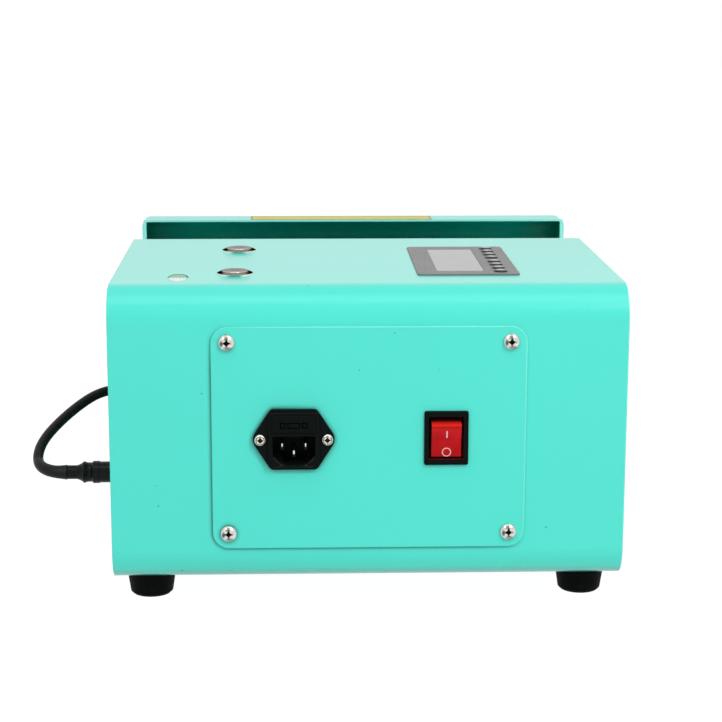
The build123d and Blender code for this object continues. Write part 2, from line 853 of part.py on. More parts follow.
def plug_body():
    """The plug's core: its seat inside the ring, the neck, and a ridge that falls to the sleeve."""
    ring_end, ridge, sleeve = plug_stations()
    seat = socket_flange + nose_length + ring_gap
    shoulder = collar_radius - collar_round
    near = ridge - 2 * collar_round
    far = ridge + 2 * collar_round
    neck = ring_end + ring_gap
    core = Polyline((shoulder, near), (neck_radius, ring_end + neck_length), (neck_radius, neck),
                    (nose_radius, neck), (nose_radius, seat), (0, seat), (0, sleeve), (sleeve_radius, sleeve))
    waist = (shoulder + sleeve_radius) / 2 - collar_hollow
    fall = ThreePointArc((sleeve_radius, sleeve), (waist, (far + sleeve) / 2), (shoulder, far))
    crest = ThreePointArc((shoulder, far), (collar_radius, ridge), (shoulder, near))
    body = revolve(Plane.XZ * make_face(core + fall + crest), Axis.Z)
    return Pos(socket_x, y_panel, z_socket) * Rot(-90, 0, 0) * body


def plug():
    start = socket_flange + ring_gap
    ring_end, ridge, sleeve = plug_stations()
    cable = sleeve + sleeve_length
    bore = nose_radius + ring_gap
    parts["plug_ring"] = on_socket([
        (bore, start),
        (ring_radius - ring_edge, start),
        (ring_radius, start + ring_edge),
        (ring_radius, ring_end - band_length),
        (ring_band_radius, ring_end - band_length),
        (ring_band_radius, ring_end - band_chamfer),
        (ring_band_radius - band_chamfer, ring_end),
        (bore, ring_end),
    ])
    parts["plug_body"] = plug_body()
    parts["plug_sleeve"] = on_socket([
        (0, sleeve),
        (sleeve_radius, sleeve),
        (sleeve_radius, cable - sleeve_chamfer),
        (sleeve_radius - sleeve_chamfer, cable),
        (0, cable),
    ])


def bend_radii(route):
    """The arc at each corner of the route: as large as its two runs allow."""
    radii = []
    for before, corner, after in zip(route, route[1:], route[2:]):
        run_in = Vector(*corner) - Vector(*before)
        run_out = Vector(*after) - Vector(*corner)
        half_turn = math.radians(run_in.get_angle(run_out)) / 2
        radii.append(0.45 * min(run_in.length, run_out.length) / math.tan(half_turn))
    return radii


def tube_along(route, radii, radius):
    """A round tube along straight runs joined by tangent arcs."""
    path = FilletPolyline(*route, radius=radii)
    tube = sweep(Plane(origin=path @ 0, z_dir=path % 0) * Circle(radius), path=path)
    return tube, path.length


def cable_shrink(radii):
    """The heat-shrink over the cable's first bend, with its mouth flared over the plug."""
    last = Vector(*cable_route[shrink_corners - 1])
    after = Vector(*cable_route[shrink_corners])
    covered = cable_route[:shrink_corners] + [tuple((last + after) / 2)]
    corners = radii[:shrink_corners - 1]
    skin = tube_along(covered, corners, shrink_radius)[0]
    cable = plug_stations()[-1] + sleeve_length
    mouth = on_socket([
        (0, cable),
        (shrink_mouth_radius, cable),
        (shrink_radius + shrink_step, cable + shrink_flare),
        (0, cable + shrink_flare),
    ])
    bore = tube_along(covered, corners, cable_radius + shrink_gap)[0]
    return skin + mouth - bore


def heater_cable():
    radii = bend_radii(cable_route)
    tube, length = tube_along(cable_route, radii, cable_radius)
    ratio = tube.volume / (math.pi * cable_radius**2 * length)
    print(f"cable {length:.1f} mm, volume over section times length {ratio:.4f}")
    print("cable bend radii", [round(radius, 1) for radius in radii])
    parts["heater_cable"] = tube
    parts["cable_shrink"] = cable_shrink(radii)


def lead_boot():
    """The moulded boot where the cable goes into the heating mat."""
    angle = math.radians(225)
    middle = mat_bore + mat_thick
    x = x_jaw + middle * math.cos(angle)
    z = z_jaw + middle * math.sin(angle)
    low = mat_length / 2
    ring = Pos(x_jaw, z_jaw) * (Circle(shell_outer + 3) - Circle(mat_bore + 0.2))
    wedge = Pos(x, z) * Rot(0, 0, 45) * Rectangle(14, 20)
    base = along_y(ring & wedge, low, low + 10)
    cone = Pos(x, low + 9, z) * Rot(-90, 0, 0) * turned([
        (0, 0),
        (5.2, 0),
        (cable_radius + 0.8, cable_route[-1][1] - low - 9),
        (0, cable_route[-1][1] - low - 9),
    ])
    return base + cone


def heater_lead():
    parts["heater_socket"] = heater_socket()
    nut = RegularPolygon(7.5, 6, major_radius=False) - Circle(nose_radius + 0.05)
    parts["socket_nut"] = along_y(Pos(socket_x, z_socket) * nut, y_rim - 2.5, y_rim)
    plug()
    heater_cable()
    parts["lead_boot"] = lead_boot()


# Heater jaws
def half_ring(outer, inner, side, x_centre, lip=0.0):
    """One half of a split ring, on the left (-1) or right (1) of its middle."""
    ring = Circle(outer) - Circle(inner)
    keep = Pos(side * (jaw_split + outer), 0) * Rectangle(2 * outer, 3 * outer)
    half = ring & keep
    if lip > 0:
        root = (outer + inner) / 2
        for z in mirrored([(root + outer + lip) / 2]):
            half += Pos(side * (jaw_split + shell_thick / 2), z) * Rectangle(shell_thick, outer + lip - root)
    return Pos(x_centre, z_jaw) * half


def jaw_screw_points():
    """The screws of the fixed jaw's bracket, as Y and Z."""
    return [(y, z_jaw + z) for y in mirrored([rib_pitch / 2]) for z in mirrored([0.75 * rib_half])]


def ribs(x_near, x_far, x_centre):
    """Three plates that hold a jaw's shell from behind."""
    blank = xz_face(x_near, x_far, z_jaw - rib_half, z_jaw + rib_half)
    blank -= Pos(x_centre, z_jaw) * Circle(rib_bore)
    stations = (-rib_pitch, 0, rib_pitch)
    return Part() + [along_y(blank, y - rib_thick / 2, y + rib_thick / 2) for y in stations]


def fixed_jaw_bracket():
    face = x_divider + fixed_plate_thick
    plate = block(x_divider, face, -bracket_half_length, bracket_half_length,
                  z_jaw - bracket_half_height, z_jaw + bracket_half_height)
    plate = fillet(plate.edges().filter_by(Axis.X), 8)
    bracket = plate + ribs(x_divider + 1, x_jaw - mat_bore * 0.65, x_jaw)
    for y, z in jaw_screw_points():
        bracket -= disc_x(small_screw_shank / 2 + screw_gap, x_divider - 1, face + 1, y, z)
    return bracket


def jaws():
    for name, side, x in (("fixed", -1, x_jaw), ("moving", 1, x_jaw_open)):
        mat = half_ring(mat_bore + mat_thick, mat_bore, side, x)
        parts[f"{name}_heating_mat"] = along_y(mat, -mat_length / 2, mat_length / 2)
        shell = half_ring(shell_outer, shell_inner, side, x, lip=shell_lip)
        parts[f"{name}_jaw_shell"] = along_y(shell, -shell_length / 2, shell_length / 2)
    parts["fixed_jaw_bracket"] = fixed_jaw_bracket()
    screw = pan_screw(small_screw_head, small_screw_shank, 8)
    seat = x_divider + fixed_plate_thick
    parts["bay_screws"] += [facing(seat, y, z, (1, 0, 0)) * screw for y, z in jaw_screw_points()]


# Carriage and drive
def rod_places():
    return mirrored([rod_pitch / 2])


def support_screw_points():
    """The screws of the rod supports, as Y and Z."""
    spread = support_width / 2 - support_screw_inset
    return [(y + dy, z_rod) for y in rod_places() for dy in mirrored([spread])]


def rod_support(x_base, side, y):
    """A flanged rod holder on a wall at x_base, reaching to the given side."""
    base = sorted((x_base, x_base + side * support_flange))
    hub = sorted((x_base, x_base + side * support_length))
    body = along_x(Pos(y, z_rod) * RectangleRounded(support_width, support_height, 3), base[0], base[1])
    body += disc_x(support_hub, hub[0], hub[1], y, z_rod)
    body -= disc_x(rod_radius + rod_fit, hub[0] - 1, hub[1] + 1, y, z_rod)
    for dy in mirrored([support_width / 2 - support_screw_inset]):
        body -= disc_x(small_screw_shank / 2 + screw_gap, base[0] - 1, base[1] + 1, y + dy, z_rod)
    return body


def bearing(y):
    """A bearing block whose open rest place leaves the travel free ahead of it."""
    x_hi = x_wall - sheet - support_length - bearing_margin
    x_lo = x_hi - bearing_length
    outline = Pos(y, z_rod) * Rectangle(bearing_width, bearing_height)
    body = along_x(chamfer(outline.vertices(), 3), x_lo, x_hi)
    return body - disc_x(rod_radius + rod_fit, x_lo - 1, x_hi + 1, y, z_rod)


def bearing_screw_points():
    """Screws that hold the carriage down on its bearing blocks, as X and Y."""
    middle = x_wall - sheet - support_length - bearing_margin - bearing_length / 2
    spots = [(x, y) for x in mirrored([bearing_length / 2 - 8]) for y in mirrored([bearing_width / 2 - 6])]
    return [(middle + x, rod + y) for rod in rod_places() for x, y in spots]


def jaw_carriage():
    x_near = x_carriage - carriage_length
    deck = Pos((x_near + x_carriage) / 2, 0) * Rectangle(carriage_length, 2 * carriage_half_length)
    upright = block(x_upright, x_carriage, -carriage_half_length, carriage_half_length,
                    z_carriage, z_jaw + upright_top)
    upright = fillet([e for e in upright.edges().filter_by(Axis.X) if e.center().Z > z_jaw], 8)
    frame = along_z(deck, z_carriage, z_deck) + upright
    frame += ribs(x_jaw_open + mat_bore * 0.65, x_upright + 1, x_jaw_open)
    brace = make_face(Polyline((x_upright + 0.5, z_deck - 0.5), (x_upright - gusset, z_deck - 0.5),
                               (x_upright - gusset, z_deck), (x_upright, z_deck + gusset),
                               (x_upright + 0.5, z_deck + gusset), close=True))
    for y in mirrored([rib_pitch / 2, carriage_half_length - 4]):
        frame += along_y(brace, y - 2, y + 2)
    lug = block(x_near, x_near + lug_length, -9, 9, z_rod - 9, z_carriage + 1)
    frame += fillet(lug.edges().filter_by(Axis.X).group_by(Axis.Z)[0], 4)
    frame -= disc_x(rod_radius + rod_fit, x_near - 1, x_near + lug_length + 1, 0, z_rod)
    for x, y in bearing_screw_points():
        frame -= along_z(Pos(x, y) * Circle(small_screw_shank / 2 + screw_gap), z_carriage - 1, z_deck + 1)
    return frame


def drive():
    x_front = x_divider - sheet - tube_front_gap
    x_rear = x_front - tube_length
    tube = disc_x(tube_radius, x_rear, x_front, 0, z_rod)
    tube = chamfer(tube.faces().sort_by(Axis.X)[-1].edges(), 2)
    stroke_room = jaw_travel + 12
    x_rod = x_front - 50
    tube -= disc_x(rod_radius + rod_fit, x_rod - stroke_room, x_front + 1, 0, z_rod)
    parts["actuator_tube"] = tube
    box = block(x_rear - gearbox_length, x_rear, -gearbox_half_width, gearbox_half_width,
                z_rod - tube_radius - 2, z_rod + motor_up + motor_radius + 2)
    parts["actuator_gearbox"] = fillet(box.edges().filter_by(Axis.X), 6)
    motor = disc_x(motor_radius, x_rear, x_rear + motor_length, 0, z_rod + motor_up)
    parts["actuator_motor"] = fillet(motor.faces().sort_by(Axis.X)[-1].edges(), 3)
    x_lug = x_carriage - carriage_length
    rod = disc_x(rod_radius, x_rod, x_lug + lug_length + 3, 0, z_rod)
    parts["actuator_rod"] = chamfer(rod.faces().sort_by(Axis.X)[-1].edges(), 0.8)
    floor = z_floor + sheet
    half = gearbox_half_width
    clamps = block(x_rear + 8, x_front - 8, -half, half, floor, floor + clamp_base)
    high = z_rod + tube_radius + clamp_wall
    for x in (x_rear + 14, x_front - 14 - clamp_width):
        clamps += block(x, x + clamp_width, -half, half, floor, high)
    clamps -= disc_x(tube_radius + 0.1, x_rear, x_front, 0, z_rod)
    parts["actuator_clamps"] = clamps


def carriage():
    parts["jaw_carriage"] = jaw_carriage()
    x_end = x_wall - sheet
    parts["guide_rods"] = [disc_x(rod_radius, x_divider, x_end, y, z_rod) for y in rod_places()]
    holders = [(x_divider, 1), (x_end, -1)]
    parts["rod_supports"] = [rod_support(x, side, y) for x, side in holders for y in rod_places()]
    screw = pan_screw(small_screw_head, small_screw_shank, 6)
    near = [facing(x_divider + support_flange, y, z, (1, 0, 0)) * screw for y, z in support_screw_points()]
    short = pan_screw(small_screw_head, small_screw_shank, support_flange)
    far = [facing(x_end - support_flange, y, z, (-1, 0, 0)) * short for y, z in support_screw_points()]
    parts["bay_screws"] += near + far
    bearings = [bearing(y) for y in rod_places()]
    down = pan_screw(small_screw_head, small_screw_shank, 12)
    screws = [Pos(x, y, z_deck) * down for x, y in bearing_screw_points()]
    for x, y in bearing_screw_points():
        hole = along_z(Pos(x, y) * Circle(small_screw_shank / 2 + screw_gap), z_carriage - 9, z_carriage + 1)
        bearings = [body - hole for body in bearings]
    parts["carriage_bearings"] = bearings
    parts["bearing_screws"] = screws
    drive()


# Electronics
def standing(corner, size, base):
    """A block on the board or in the supply, from its own corner, length, width and height."""
    x, y, long, wide, high = size
    return block(corner[0] + x, corner[0] + x + long, corner[1] + y, corner[1] + y + wide, base, base + high)


def power_supply(floor):
    long, wide, high = supply_size
    x = supply_x
    y = half_length - supply_inset - wide
    case = block(x, x + long, y, y + wide, floor, floor + high)
    case -= block(x + sheet, x + long - sheet, y - 1, y + wide / 3, floor + supply_foot, floor + high - sheet)
    slot = SlotOverall(grille_length, grille_width, rotation=90)
    middle = y + wide - grille_inset - grille_length / 2
    first = x + (long - (grille_slots - 1) * grille_pitch) / 2
    grille = Sketch() + [Pos(first + grille_pitch * i, middle) * slot for i in range(grille_slots)]
    case -= along_z(grille, floor + high - sheet, floor + high + 1)
    return case + standing((x, y), terminal_block, floor + supply_foot - 0.1)


def control_board(corner, low):
    top = low + board_thick
    seat = top - 0.1
    board = block(corner[0], corner[0] + pcb_size[0], corner[1], corner[1] + pcb_size[1], low, top)
    for size in [transformer, plug_row] + relays:
        board += standing(corner, size, seat)
    for x, y in capacitor_places:
        can = Pos(corner[0] + x, corner[1] + y) * Circle(capacitor_radius)
        board += along_z(can, seat, top + capacitor_height)
    return board


def heat_sink(corner, base):
    x, y, long, wide, high = sink_block
    sink = standing(corner, (x, y, long, wide, sink_base), base)
    pitch = (wide - sink_fin) / (sink_fins - 1)
    for i in range(sink_fins):
        sink += standing(corner, (x, y + pitch * i, long, sink_fin, high), base)
    return sink


def electronics():
    floor = z_floor + sheet
    parts["power_supply"] = power_supply(floor)
    corner = (pcb_x, pcb_inset - half_length)
    low = floor + standoff
    spots = [(x, y) for x in (standoff_inset, pcb_size[0] - standoff_inset)
             for y in (standoff_inset, pcb_size[1] - standoff_inset)]
    post = RegularPolygon(standoff_radius, 6)
    places = [Pos(corner[0] + x, corner[1] + y) for x, y in spots]
    parts["board_standoffs"] = [along_z(place * post, floor, low) for place in places]
    parts["control_board"] = control_board(corner, low)
    parts["board_heat_sink"] = heat_sink(corner, low + board_thick)


def to_origin(shapes):
    """The shift that puts the origin under the middle of everything but the cable."""
    loose = {"heater_cable", "cable_shrink", "plug_ring", "plug_body", "plug_sleeve"}
    boxes = [solid.bounding_box() for name, group in shapes.items() if name not in loose for solid in group]
    x = (min(b.min.X for b in boxes) + max(b.max.X for b in boxes)) / 2
    y = (min(b.min.Y for b in boxes) + max(b.max.Y for b in boxes)) / 2
    return Pos(-x, -y, 0)


casing()
inlet()
switch()
controller()
buttons()
heater_lead()
jaws()
carriage()
electronics()

shapes = {name: (made if isinstance(made, list) else made.solids()) for name, made in parts.items()}
shift = to_origin(shapes)
print("shift", tuple(round(v, 3) for v in shift.position))
os.makedirs("parts", exist_ok=True)
for name, group in shapes.items():
    placed = [shift * solid for solid in group]
    shape = placed[0] if len(placed) == 1 else Compound(children=placed)
    export_step(shape, f"parts/{name}.step")
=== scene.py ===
import math

import bmesh
import bpy
from mathutils import Matrix, Vector
from mathutils.bvhtree import BVHTree


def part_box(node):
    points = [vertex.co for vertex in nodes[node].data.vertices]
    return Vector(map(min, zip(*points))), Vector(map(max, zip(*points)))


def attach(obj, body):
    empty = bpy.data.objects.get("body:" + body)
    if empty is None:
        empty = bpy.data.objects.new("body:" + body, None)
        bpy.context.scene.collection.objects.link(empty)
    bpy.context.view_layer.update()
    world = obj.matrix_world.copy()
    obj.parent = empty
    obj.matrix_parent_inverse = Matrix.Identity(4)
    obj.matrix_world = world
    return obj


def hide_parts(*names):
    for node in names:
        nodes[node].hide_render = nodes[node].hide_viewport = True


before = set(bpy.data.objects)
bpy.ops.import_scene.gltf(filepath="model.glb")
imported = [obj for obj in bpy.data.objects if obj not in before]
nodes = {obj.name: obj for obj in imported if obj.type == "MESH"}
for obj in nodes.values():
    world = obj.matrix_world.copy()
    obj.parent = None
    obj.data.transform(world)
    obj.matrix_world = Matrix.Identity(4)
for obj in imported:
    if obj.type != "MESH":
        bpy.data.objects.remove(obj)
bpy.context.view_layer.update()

# The press is measured in millimetres from the control box's left face (X = 0), the middle of
# its length (Y = 0) and the surface that it stands on (Z = 0).
MM = 0.001
box_low, box_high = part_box("control_box_shell")
ORIGIN = Vector((box_low.x, (box_low.y + box_high.y) / 2, 0))


def at(x, y, z):
    """A point given in millimetres from the control box, in the frame's metres."""
    return ORIGIN + Vector((x, y, z)) * MM


def reach(node, side, axis):
    """Where a node begins (side 0) or ends (side 1) along an axis, in millimetres."""
    return (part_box(node)[side][axis] - ORIGIN[axis]) / MM


BOX_TOP = reach("control_box_shell", 1, 2)
HOOD_TOP = reach("hood_shell", 1, 2)
KEYS = [f"key_{i}" for i in range(1, 9)]

# Camera, from the photograph: the image's size in pixels, and the sensor and lens in millimetres
IMAGE = 722
SENSOR = 36
CAMERA_PLACE = (-1106.6, 45.3, 384.8)
CAMERA_YAW = math.radians(2.09)
CAMERA_PITCH = math.radians(11.78)
CAMERA_ROLL = math.radians(0.14)
CAMERA_LENS = 95.0

# Pixels of the photograph: the marks on the rocker and specks in the paint
ROCKER_ON_PIXEL = (447.0, 434.5)
ROCKER_OFF_PIXEL = (446.5, 452.1)
ROCKER_RIDGE_PIXEL = (447.0, 427.7)
SPECK_PIXELS = [
    (395, 333), (359.5, 370), (439, 369.5), (201.6, 393.7), (156.7, 486), (158.4, 506.3),
    (297, 571.2), (182, 570.2), (225.8, 561.8), (546, 527), (589, 306.3), (307.5, 286),
]

# The heater cable's route, from the plug to the heater, in metres from the same origin
CABLE_ROUTE = [
    (0.1100, 0.1936, 0.0573),
    (0.1100, 0.1986, 0.0573),
    (0.1112, 0.2035, 0.0576),
    (0.1138, 0.2081, 0.0582),
    (0.1178, 0.2120, 0.0594),
    (0.1232, 0.2144, 0.0613),
    (0.1305, 0.2152, 0.0645),
    (0.1410, 0.2141, 0.0688),
    (0.1545, 0.2102, 0.0734),
    (0.1710, 0.2030, 0.0788),
    (0.1875, 0.1938, 0.0843),
    (0.2015, 0.1843, 0.0884),
    (0.2120, 0.1750, 0.0896),
    (0.2196, 0.1654, 0.0883),
    (0.22391, 0.1560, 0.08626),
    (0.22391, 0.1460, 0.08626),
]
CABLE_RADIUS = 0.00345

# The shrink tube's radius at lengths from its mouth, both in millimetres
SHRINK_SHAPE = [
    (0, 4.6), (0.4, 4.9), (4, 4.5), (7, 4.25), (9.5, 4.1),
    (14, 4.0), (20, 3.75), (26, 3.52), (27, 3.4),
]

# Signs of a rectangle's corners
CORNERS = ((-1, -1), (1, -1), (1, 1), (-1, 1))

# The camera's directions, and rays through the photograph's pixels
FORWARD = Vector((math.cos(CAMERA_YAW) * math.cos(CAMERA_PITCH),
                  -math.sin(CAMERA_YAW) * math.cos(CAMERA_PITCH), -math.sin(CAMERA_PITCH)))
LEVEL = Vector((-math.sin(CAMERA_YAW), -math.cos(CAMERA_YAW), 0))
UPRIGHT = LEVEL.cross(FORWARD)
RIGHT = math.cos(CAMERA_ROLL) * LEVEL + math.sin(CAMERA_ROLL) * UPRIGHT
UP = -math.sin(CAMERA_ROLL) * LEVEL + math.cos(CAMERA_ROLL) * UPRIGHT


def sight(pixel):
    """The direction in which the camera sees a pixel."""
    size = CAMERA_LENS / SENSOR * IMAGE
    across = (pixel[0] - IMAGE / 2) / size
    down = (pixel[1] - IMAGE / 2) / size
    return (FORWARD + across * RIGHT - down * UP).normalized()


def turned_to(angle, side, other):
    """The direction at an angle from one side towards another."""
    return math.cos(angle) * side + math.sin(angle) * other


def ray_tree(name):
    """The surface of a node, for rays."""
    mesh = nodes[name].data
    return BVHTree.FromPolygons([v.co for v in mesh.vertices], [p.vertices for p in mesh.polygons])


def meets(tree, start, way):
    """Whether a ray meets a surface."""
    return tree.ray_cast(start, way)[0] is not None


def met(tree, start, way):
    """Where a ray meets a surface, and how that faces the ray."""
    place, normal = tree.ray_cast(start, way)[:2]
    if normal.dot(way) > 0:
        normal = -normal
    return place, normal


# Materials, with lengths in metres and the scale of a noise in waves in a metre
NOISE_RANGE = (0.3, 0.7)
PATCH_SCALE = 35
ROUGHNESS_VARIES = 0.08
GRAIN_DEPTH = 0.00003
EDGE_RADIUS = 0.0003
BEVEL_SAMPLES = 4
SHELTER_SAMPLES = 8
FACE_AXES = (1, 2)
TOP_AXES = (0, 1)


def scaled(color, share):
    """A colour made darker or lighter by a share."""
    return tuple(share * c for c in color)


def shader(name, color, roughness, metallic=0.0, **more):
    """A new material with a Principled shader, its node tree and the shader."""
    made = bpy.data.materials.new(name)
    made.use_nodes = True
    principled = made.node_tree.nodes["Principled BSDF"]
    principled.inputs["Base Color"].default_value = (*color, 1)
    principled.inputs["Roughness"].default_value = roughness
    principled.inputs["Metallic"].default_value = metallic
    for key, value in more.items():
        principled.inputs[key.replace("_", " ")].default_value = value
    return made, made.node_tree, principled


def link(tree, source, target):
    """One socket feeds another."""
    tree.links.new(source, target)


def painted(tree, principled, color):
    """The shader takes its colour from a socket."""
    link(tree, color, principled.inputs["Base Color"])


def coordinates(tree, scale=(1, 1, 1)):
    """The piece's own coordinates, in metres, stretched by a factor on each axis."""
    place = tree.nodes.new("ShaderNodeTexCoord")
    mapping = tree.nodes.new("ShaderNodeMapping")
    mapping.inputs["Scale"].default_value = scale
    link(tree, place.outputs["Object"], mapping.inputs["Vector"])
    return mapping.outputs["Vector"]


def noise(tree, scale, detail=3.0, stretch=(1, 1, 1)):
    """A noise with a given number of waves in a metre."""
    texture = tree.nodes.new("ShaderNodeTexNoise")
    texture.inputs["Scale"].default_value = scale
    texture.inputs["Detail"].default_value = detail
    link(tree, coordinates(tree, stretch), texture.inputs["Vector"])
    return texture.outputs["Fac"]


def spread(tree, value, to=(0, 1), over=NOISE_RANGE):
    """A value that goes from one end to another as a given value goes over a range."""
    ramp = tree.nodes.new("ShaderNodeMapRange")
    ends = zip(("From Min", "From Max", "To Min", "To Max"), (*over, *to))
    for name, end in ends:
        ramp.inputs[name].default_value = end
    link(tree, value, ramp.inputs["Value"])
    return ramp.outputs["Result"]


def calculated(tree, operation, first, second=0):
    """One or two values, or value sockets, put through an operation."""
    node = tree.nodes.new("ShaderNodeMath")
    node.operation = operation
    for target, value in zip(node.inputs, (first, second)):
        if isinstance(value, (int, float)):
            target.default_value = value
        else:
            link(tree, value, target)
    return node.outputs[0]


def mixed(tree, factor, first, second):
    """Two colours, or colour sockets, mixed by a factor."""
    mix = tree.nodes.new("ShaderNodeMix")
    mix.data_type = "RGBA"
    for socket, value in (("A", first), ("B", second)):
        target = [s for s in mix.inputs if s.name == socket and s.type == "RGBA"][0]
        if isinstance(value, tuple):
            target.default_value = (*value, 1)
        else:
            link(tree, value, target)
    link(tree, factor, mix.inputs[0])
    return [s for s in mix.outputs if s.type == "RGBA"][0]


def split(tree, vector):
    """The three parts of a vector."""
    parts = tree.nodes.new("ShaderNodeSeparateXYZ")
    link(tree, vector, parts.inputs[0])
    return parts.outputs


def dotted(tree, first, second):
    """The dot product of two vectors."""
    product = tree.nodes.new("ShaderNodeVectorMath")
    product.operation = "DOT_PRODUCT"
    link(tree, first, product.inputs[0])
    link(tree, second, product.inputs[1])
    return product.outputs["Value"]


def facing(tree, axis, over, share=1.0):
    """From 0 to a share, as the way a surface faces goes over a range of an axis."""
    geometry = tree.nodes.new("ShaderNodeNewGeometry")
    return spread(tree, split(tree, geometry.outputs["Normal"])[axis], (0, share), over)


def sheltered(tree, distance, over=(0.35, 0.85)):
    """1 in corners and recesses, 0 on open surfaces, by ambient occlusion: the mask for painted
    shade, and in the switch's recess for painted red light.
    """
    open_share = tree.nodes.new("ShaderNodeAmbientOcclusion")
    open_share.samples = SHELTER_SAMPLES
    open_share.inputs["Distance"].default_value = distance
    return spread(tree, open_share.outputs["AO"], (1, 0), over)


def rounded_normal(tree, radius):
    """The way a surface would face if its edges had a radius."""
    rounded = tree.nodes.new("ShaderNodeBevel")
    rounded.samples = BEVEL_SAMPLES
    rounded.inputs["Radius"].default_value = radius
    return rounded.outputs["Normal"]


def highlight_edges(tree, radius=0.0008):
    """1 on edges, 0 on open surfaces: the mask for painted edge highlights."""
    geometry = tree.nodes.new("ShaderNodeNewGeometry")
    alike = dotted(tree, rounded_normal(tree, radius), geometry.outputs["Normal"])
    return spread(tree, alike, (1, 0), over=(0.9, 0.99))


def relief(tree, principled, height, strength, rough=None, depth=GRAIN_DEPTH, edge=EDGE_RADIUS):
    """Fine relief, on edges that catch the light as if slightly rounded.

    Where a range of roughness is given, the relief goes over it.
    """
    if rough:
        link(tree, spread(tree, height, rough), principled.inputs["Roughness"])
    normal = rounded_normal(tree, edge)
    bump = tree.nodes.new("ShaderNodeBump")
    bump.inputs["Strength"].default_value = strength
    bump.inputs["Distance"].default_value = depth
    link(tree, height, bump.inputs["Height"])
    link(tree, normal, bump.inputs["Normal"])
    link(tree, bump.outputs["Normal"], principled.inputs["Normal"])
    return normal


def surface(name, color, roughness, metallic=0.0, shade=0.9, grain=900, strength=0.15,
            depth=GRAIN_DEPTH, stretch=(1, 1, 1), **more):
    """A material whose colour and gloss vary a little and whose surface has a fine grain."""
    made, tree, principled = shader(name, color, roughness, metallic, **more)
    patches = spread(tree, noise(tree, PATCH_SCALE))
    painted(tree, principled, mixed(tree, patches, color, scaled(color, shade)))
    rough = (roughness - ROUGHNESS_VARIES, roughness + ROUGHNESS_VARIES)
    relief(tree, principled, noise(tree, grain, 2.0, stretch), strength, rough, depth)
    return made


def middle_of(name):
    """The middle of a node's box, in millimetres."""
    return [(reach(name, 0, axis) + reach(name, 1, axis)) / 2 for axis in range(3)]


def offsets_from(tree, node, axes, pitch=(0, 0)):
    """How far a point is, on two axes, from the middle of a node.

    Where a pitch is given, it is how far the point is from the nearest of the node's solids,
    which stand that far apart round the middle.
    """
    parts = split(tree, coordinates(tree))
    center = at(*middle_of(node))
    offsets = []
    for axis, apart in zip(axes, pitch):
        out = calculated(tree, "SUBTRACT", parts[axis], center[axis])
        side = calculated(tree, "MULTIPLY", calculated(tree, "SIGN", out), apart / 2 * MM)
        offsets.append(calculated(tree, "SUBTRACT", out, side))
    return offsets


def within(tree, offsets, half):
    """1 within a rectangle of a given half size, round the zero of two offsets."""
    shares = [calculated(tree, "DIVIDE", calculated(tree, "ABSOLUTE", offset), size * MM)
              for offset, size in zip(offsets, half)]
    return spread(tree, calculated(tree, "MAXIMUM", *shares), (1, 0), over=(0.97, 1.03))


def star(tree, offsets, size, power):
    """1 within a four-pointed star of a given half width, thinner for a smaller power."""
    powers = [calculated(tree, "POWER", calculated(tree, "ABSOLUTE", offset), power)
              for offset in offsets]
    edge = (size * MM) ** power
    return spread(tree, calculated(tree, "ADD", *powers), (1, 0), over=(0.9 * edge, edge))


def blot(tree, offsets, place, half, soft):
    """1 within a soft-edged ellipse, at a place from the zero of two offsets."""
    squares = []
    for offset, out, size in zip(offsets, place, half):
        away = calculated(tree, "SUBTRACT", offset, out * MM)
        share = calculated(tree, "DIVIDE", away, size * MM)
        squares.append(calculated(tree, "MULTIPLY", share, share))
    return spread(tree, calculated(tree, "ADD", *squares), (1, 0), over=(1 - soft, 1 + soft))


# Enamel: its colour, a darker tone, painted shadow, painted shade inside the hood, and the painted
# highlight on edges and the lip
TEAL = (0.079, 0.79, 0.66)
TEAL_DEEPER = scaled(TEAL, 0.965)
TEAL_SHADOW = scaled(TEAL, 0.25)
TEAL_INSIDE_SHADE = (0.0, 0.43, 0.325)
TEAL_HIGHLIGHT = (0.36, 1.0, 0.92)
# Shares of the painted highlight on edges and on the hood's lip, and of the painted shadow on the
# underside
EDGE_HIGHLIGHT = 0.8
LIP_HIGHLIGHT = 0.9
UNDERSIDE_SHADOW = 0.8

# The hood's inside faces the middle of its length and height, this far from its outer side
HOOD_INSET = 20.0
HOOD_MIDDLE = (reach("hood_shell", 1, 0) - HOOD_INSET, *middle_of("hood_shell")[1:])


def plate_lines(tree, plate):
    """A painted shade line beside a plate's lower and back edges, and a painted highlight on its
    other edges.
    """
    across, height = offsets_from(tree, plate, FACE_AXES)
    half = (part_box(plate)[1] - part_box(plate)[0]) / 2
    side = calculated(tree, "SUBTRACT", calculated(tree, "DIVIDE", across, half.y),
                      calculated(tree, "DIVIDE", height, half.z))
    dark = calculated(tree, "MULTIPLY", sheltered(tree, 0.003, over=(0.5, 0.95)),
                      spread(tree, side, (0, 1), over=(-0.1, 0.4)))
    light = calculated(tree, "MULTIPLY", highlight_edges(tree, 0.0013),
                       spread(tree, side, (1, 0), over=(-0.4, 0.1)))
    return dark, light


def inward(tree, middle):
    """1 on sides that face a middle, 0 on the others."""
    geometry = tree.nodes.new("ShaderNodeNewGeometry")
    out = tree.nodes.new("ShaderNodeVectorMath")
    out.operation = "SUBTRACT"
    link(tree, geometry.outputs["Position"], out.inputs[0])
    out.inputs[1].default_value = at(*middle)
    away = dotted(tree, out.outputs[0], geometry.outputs["Normal"])
    return spread(tree, away, (1, 0), over=(-0.001, 0.001))


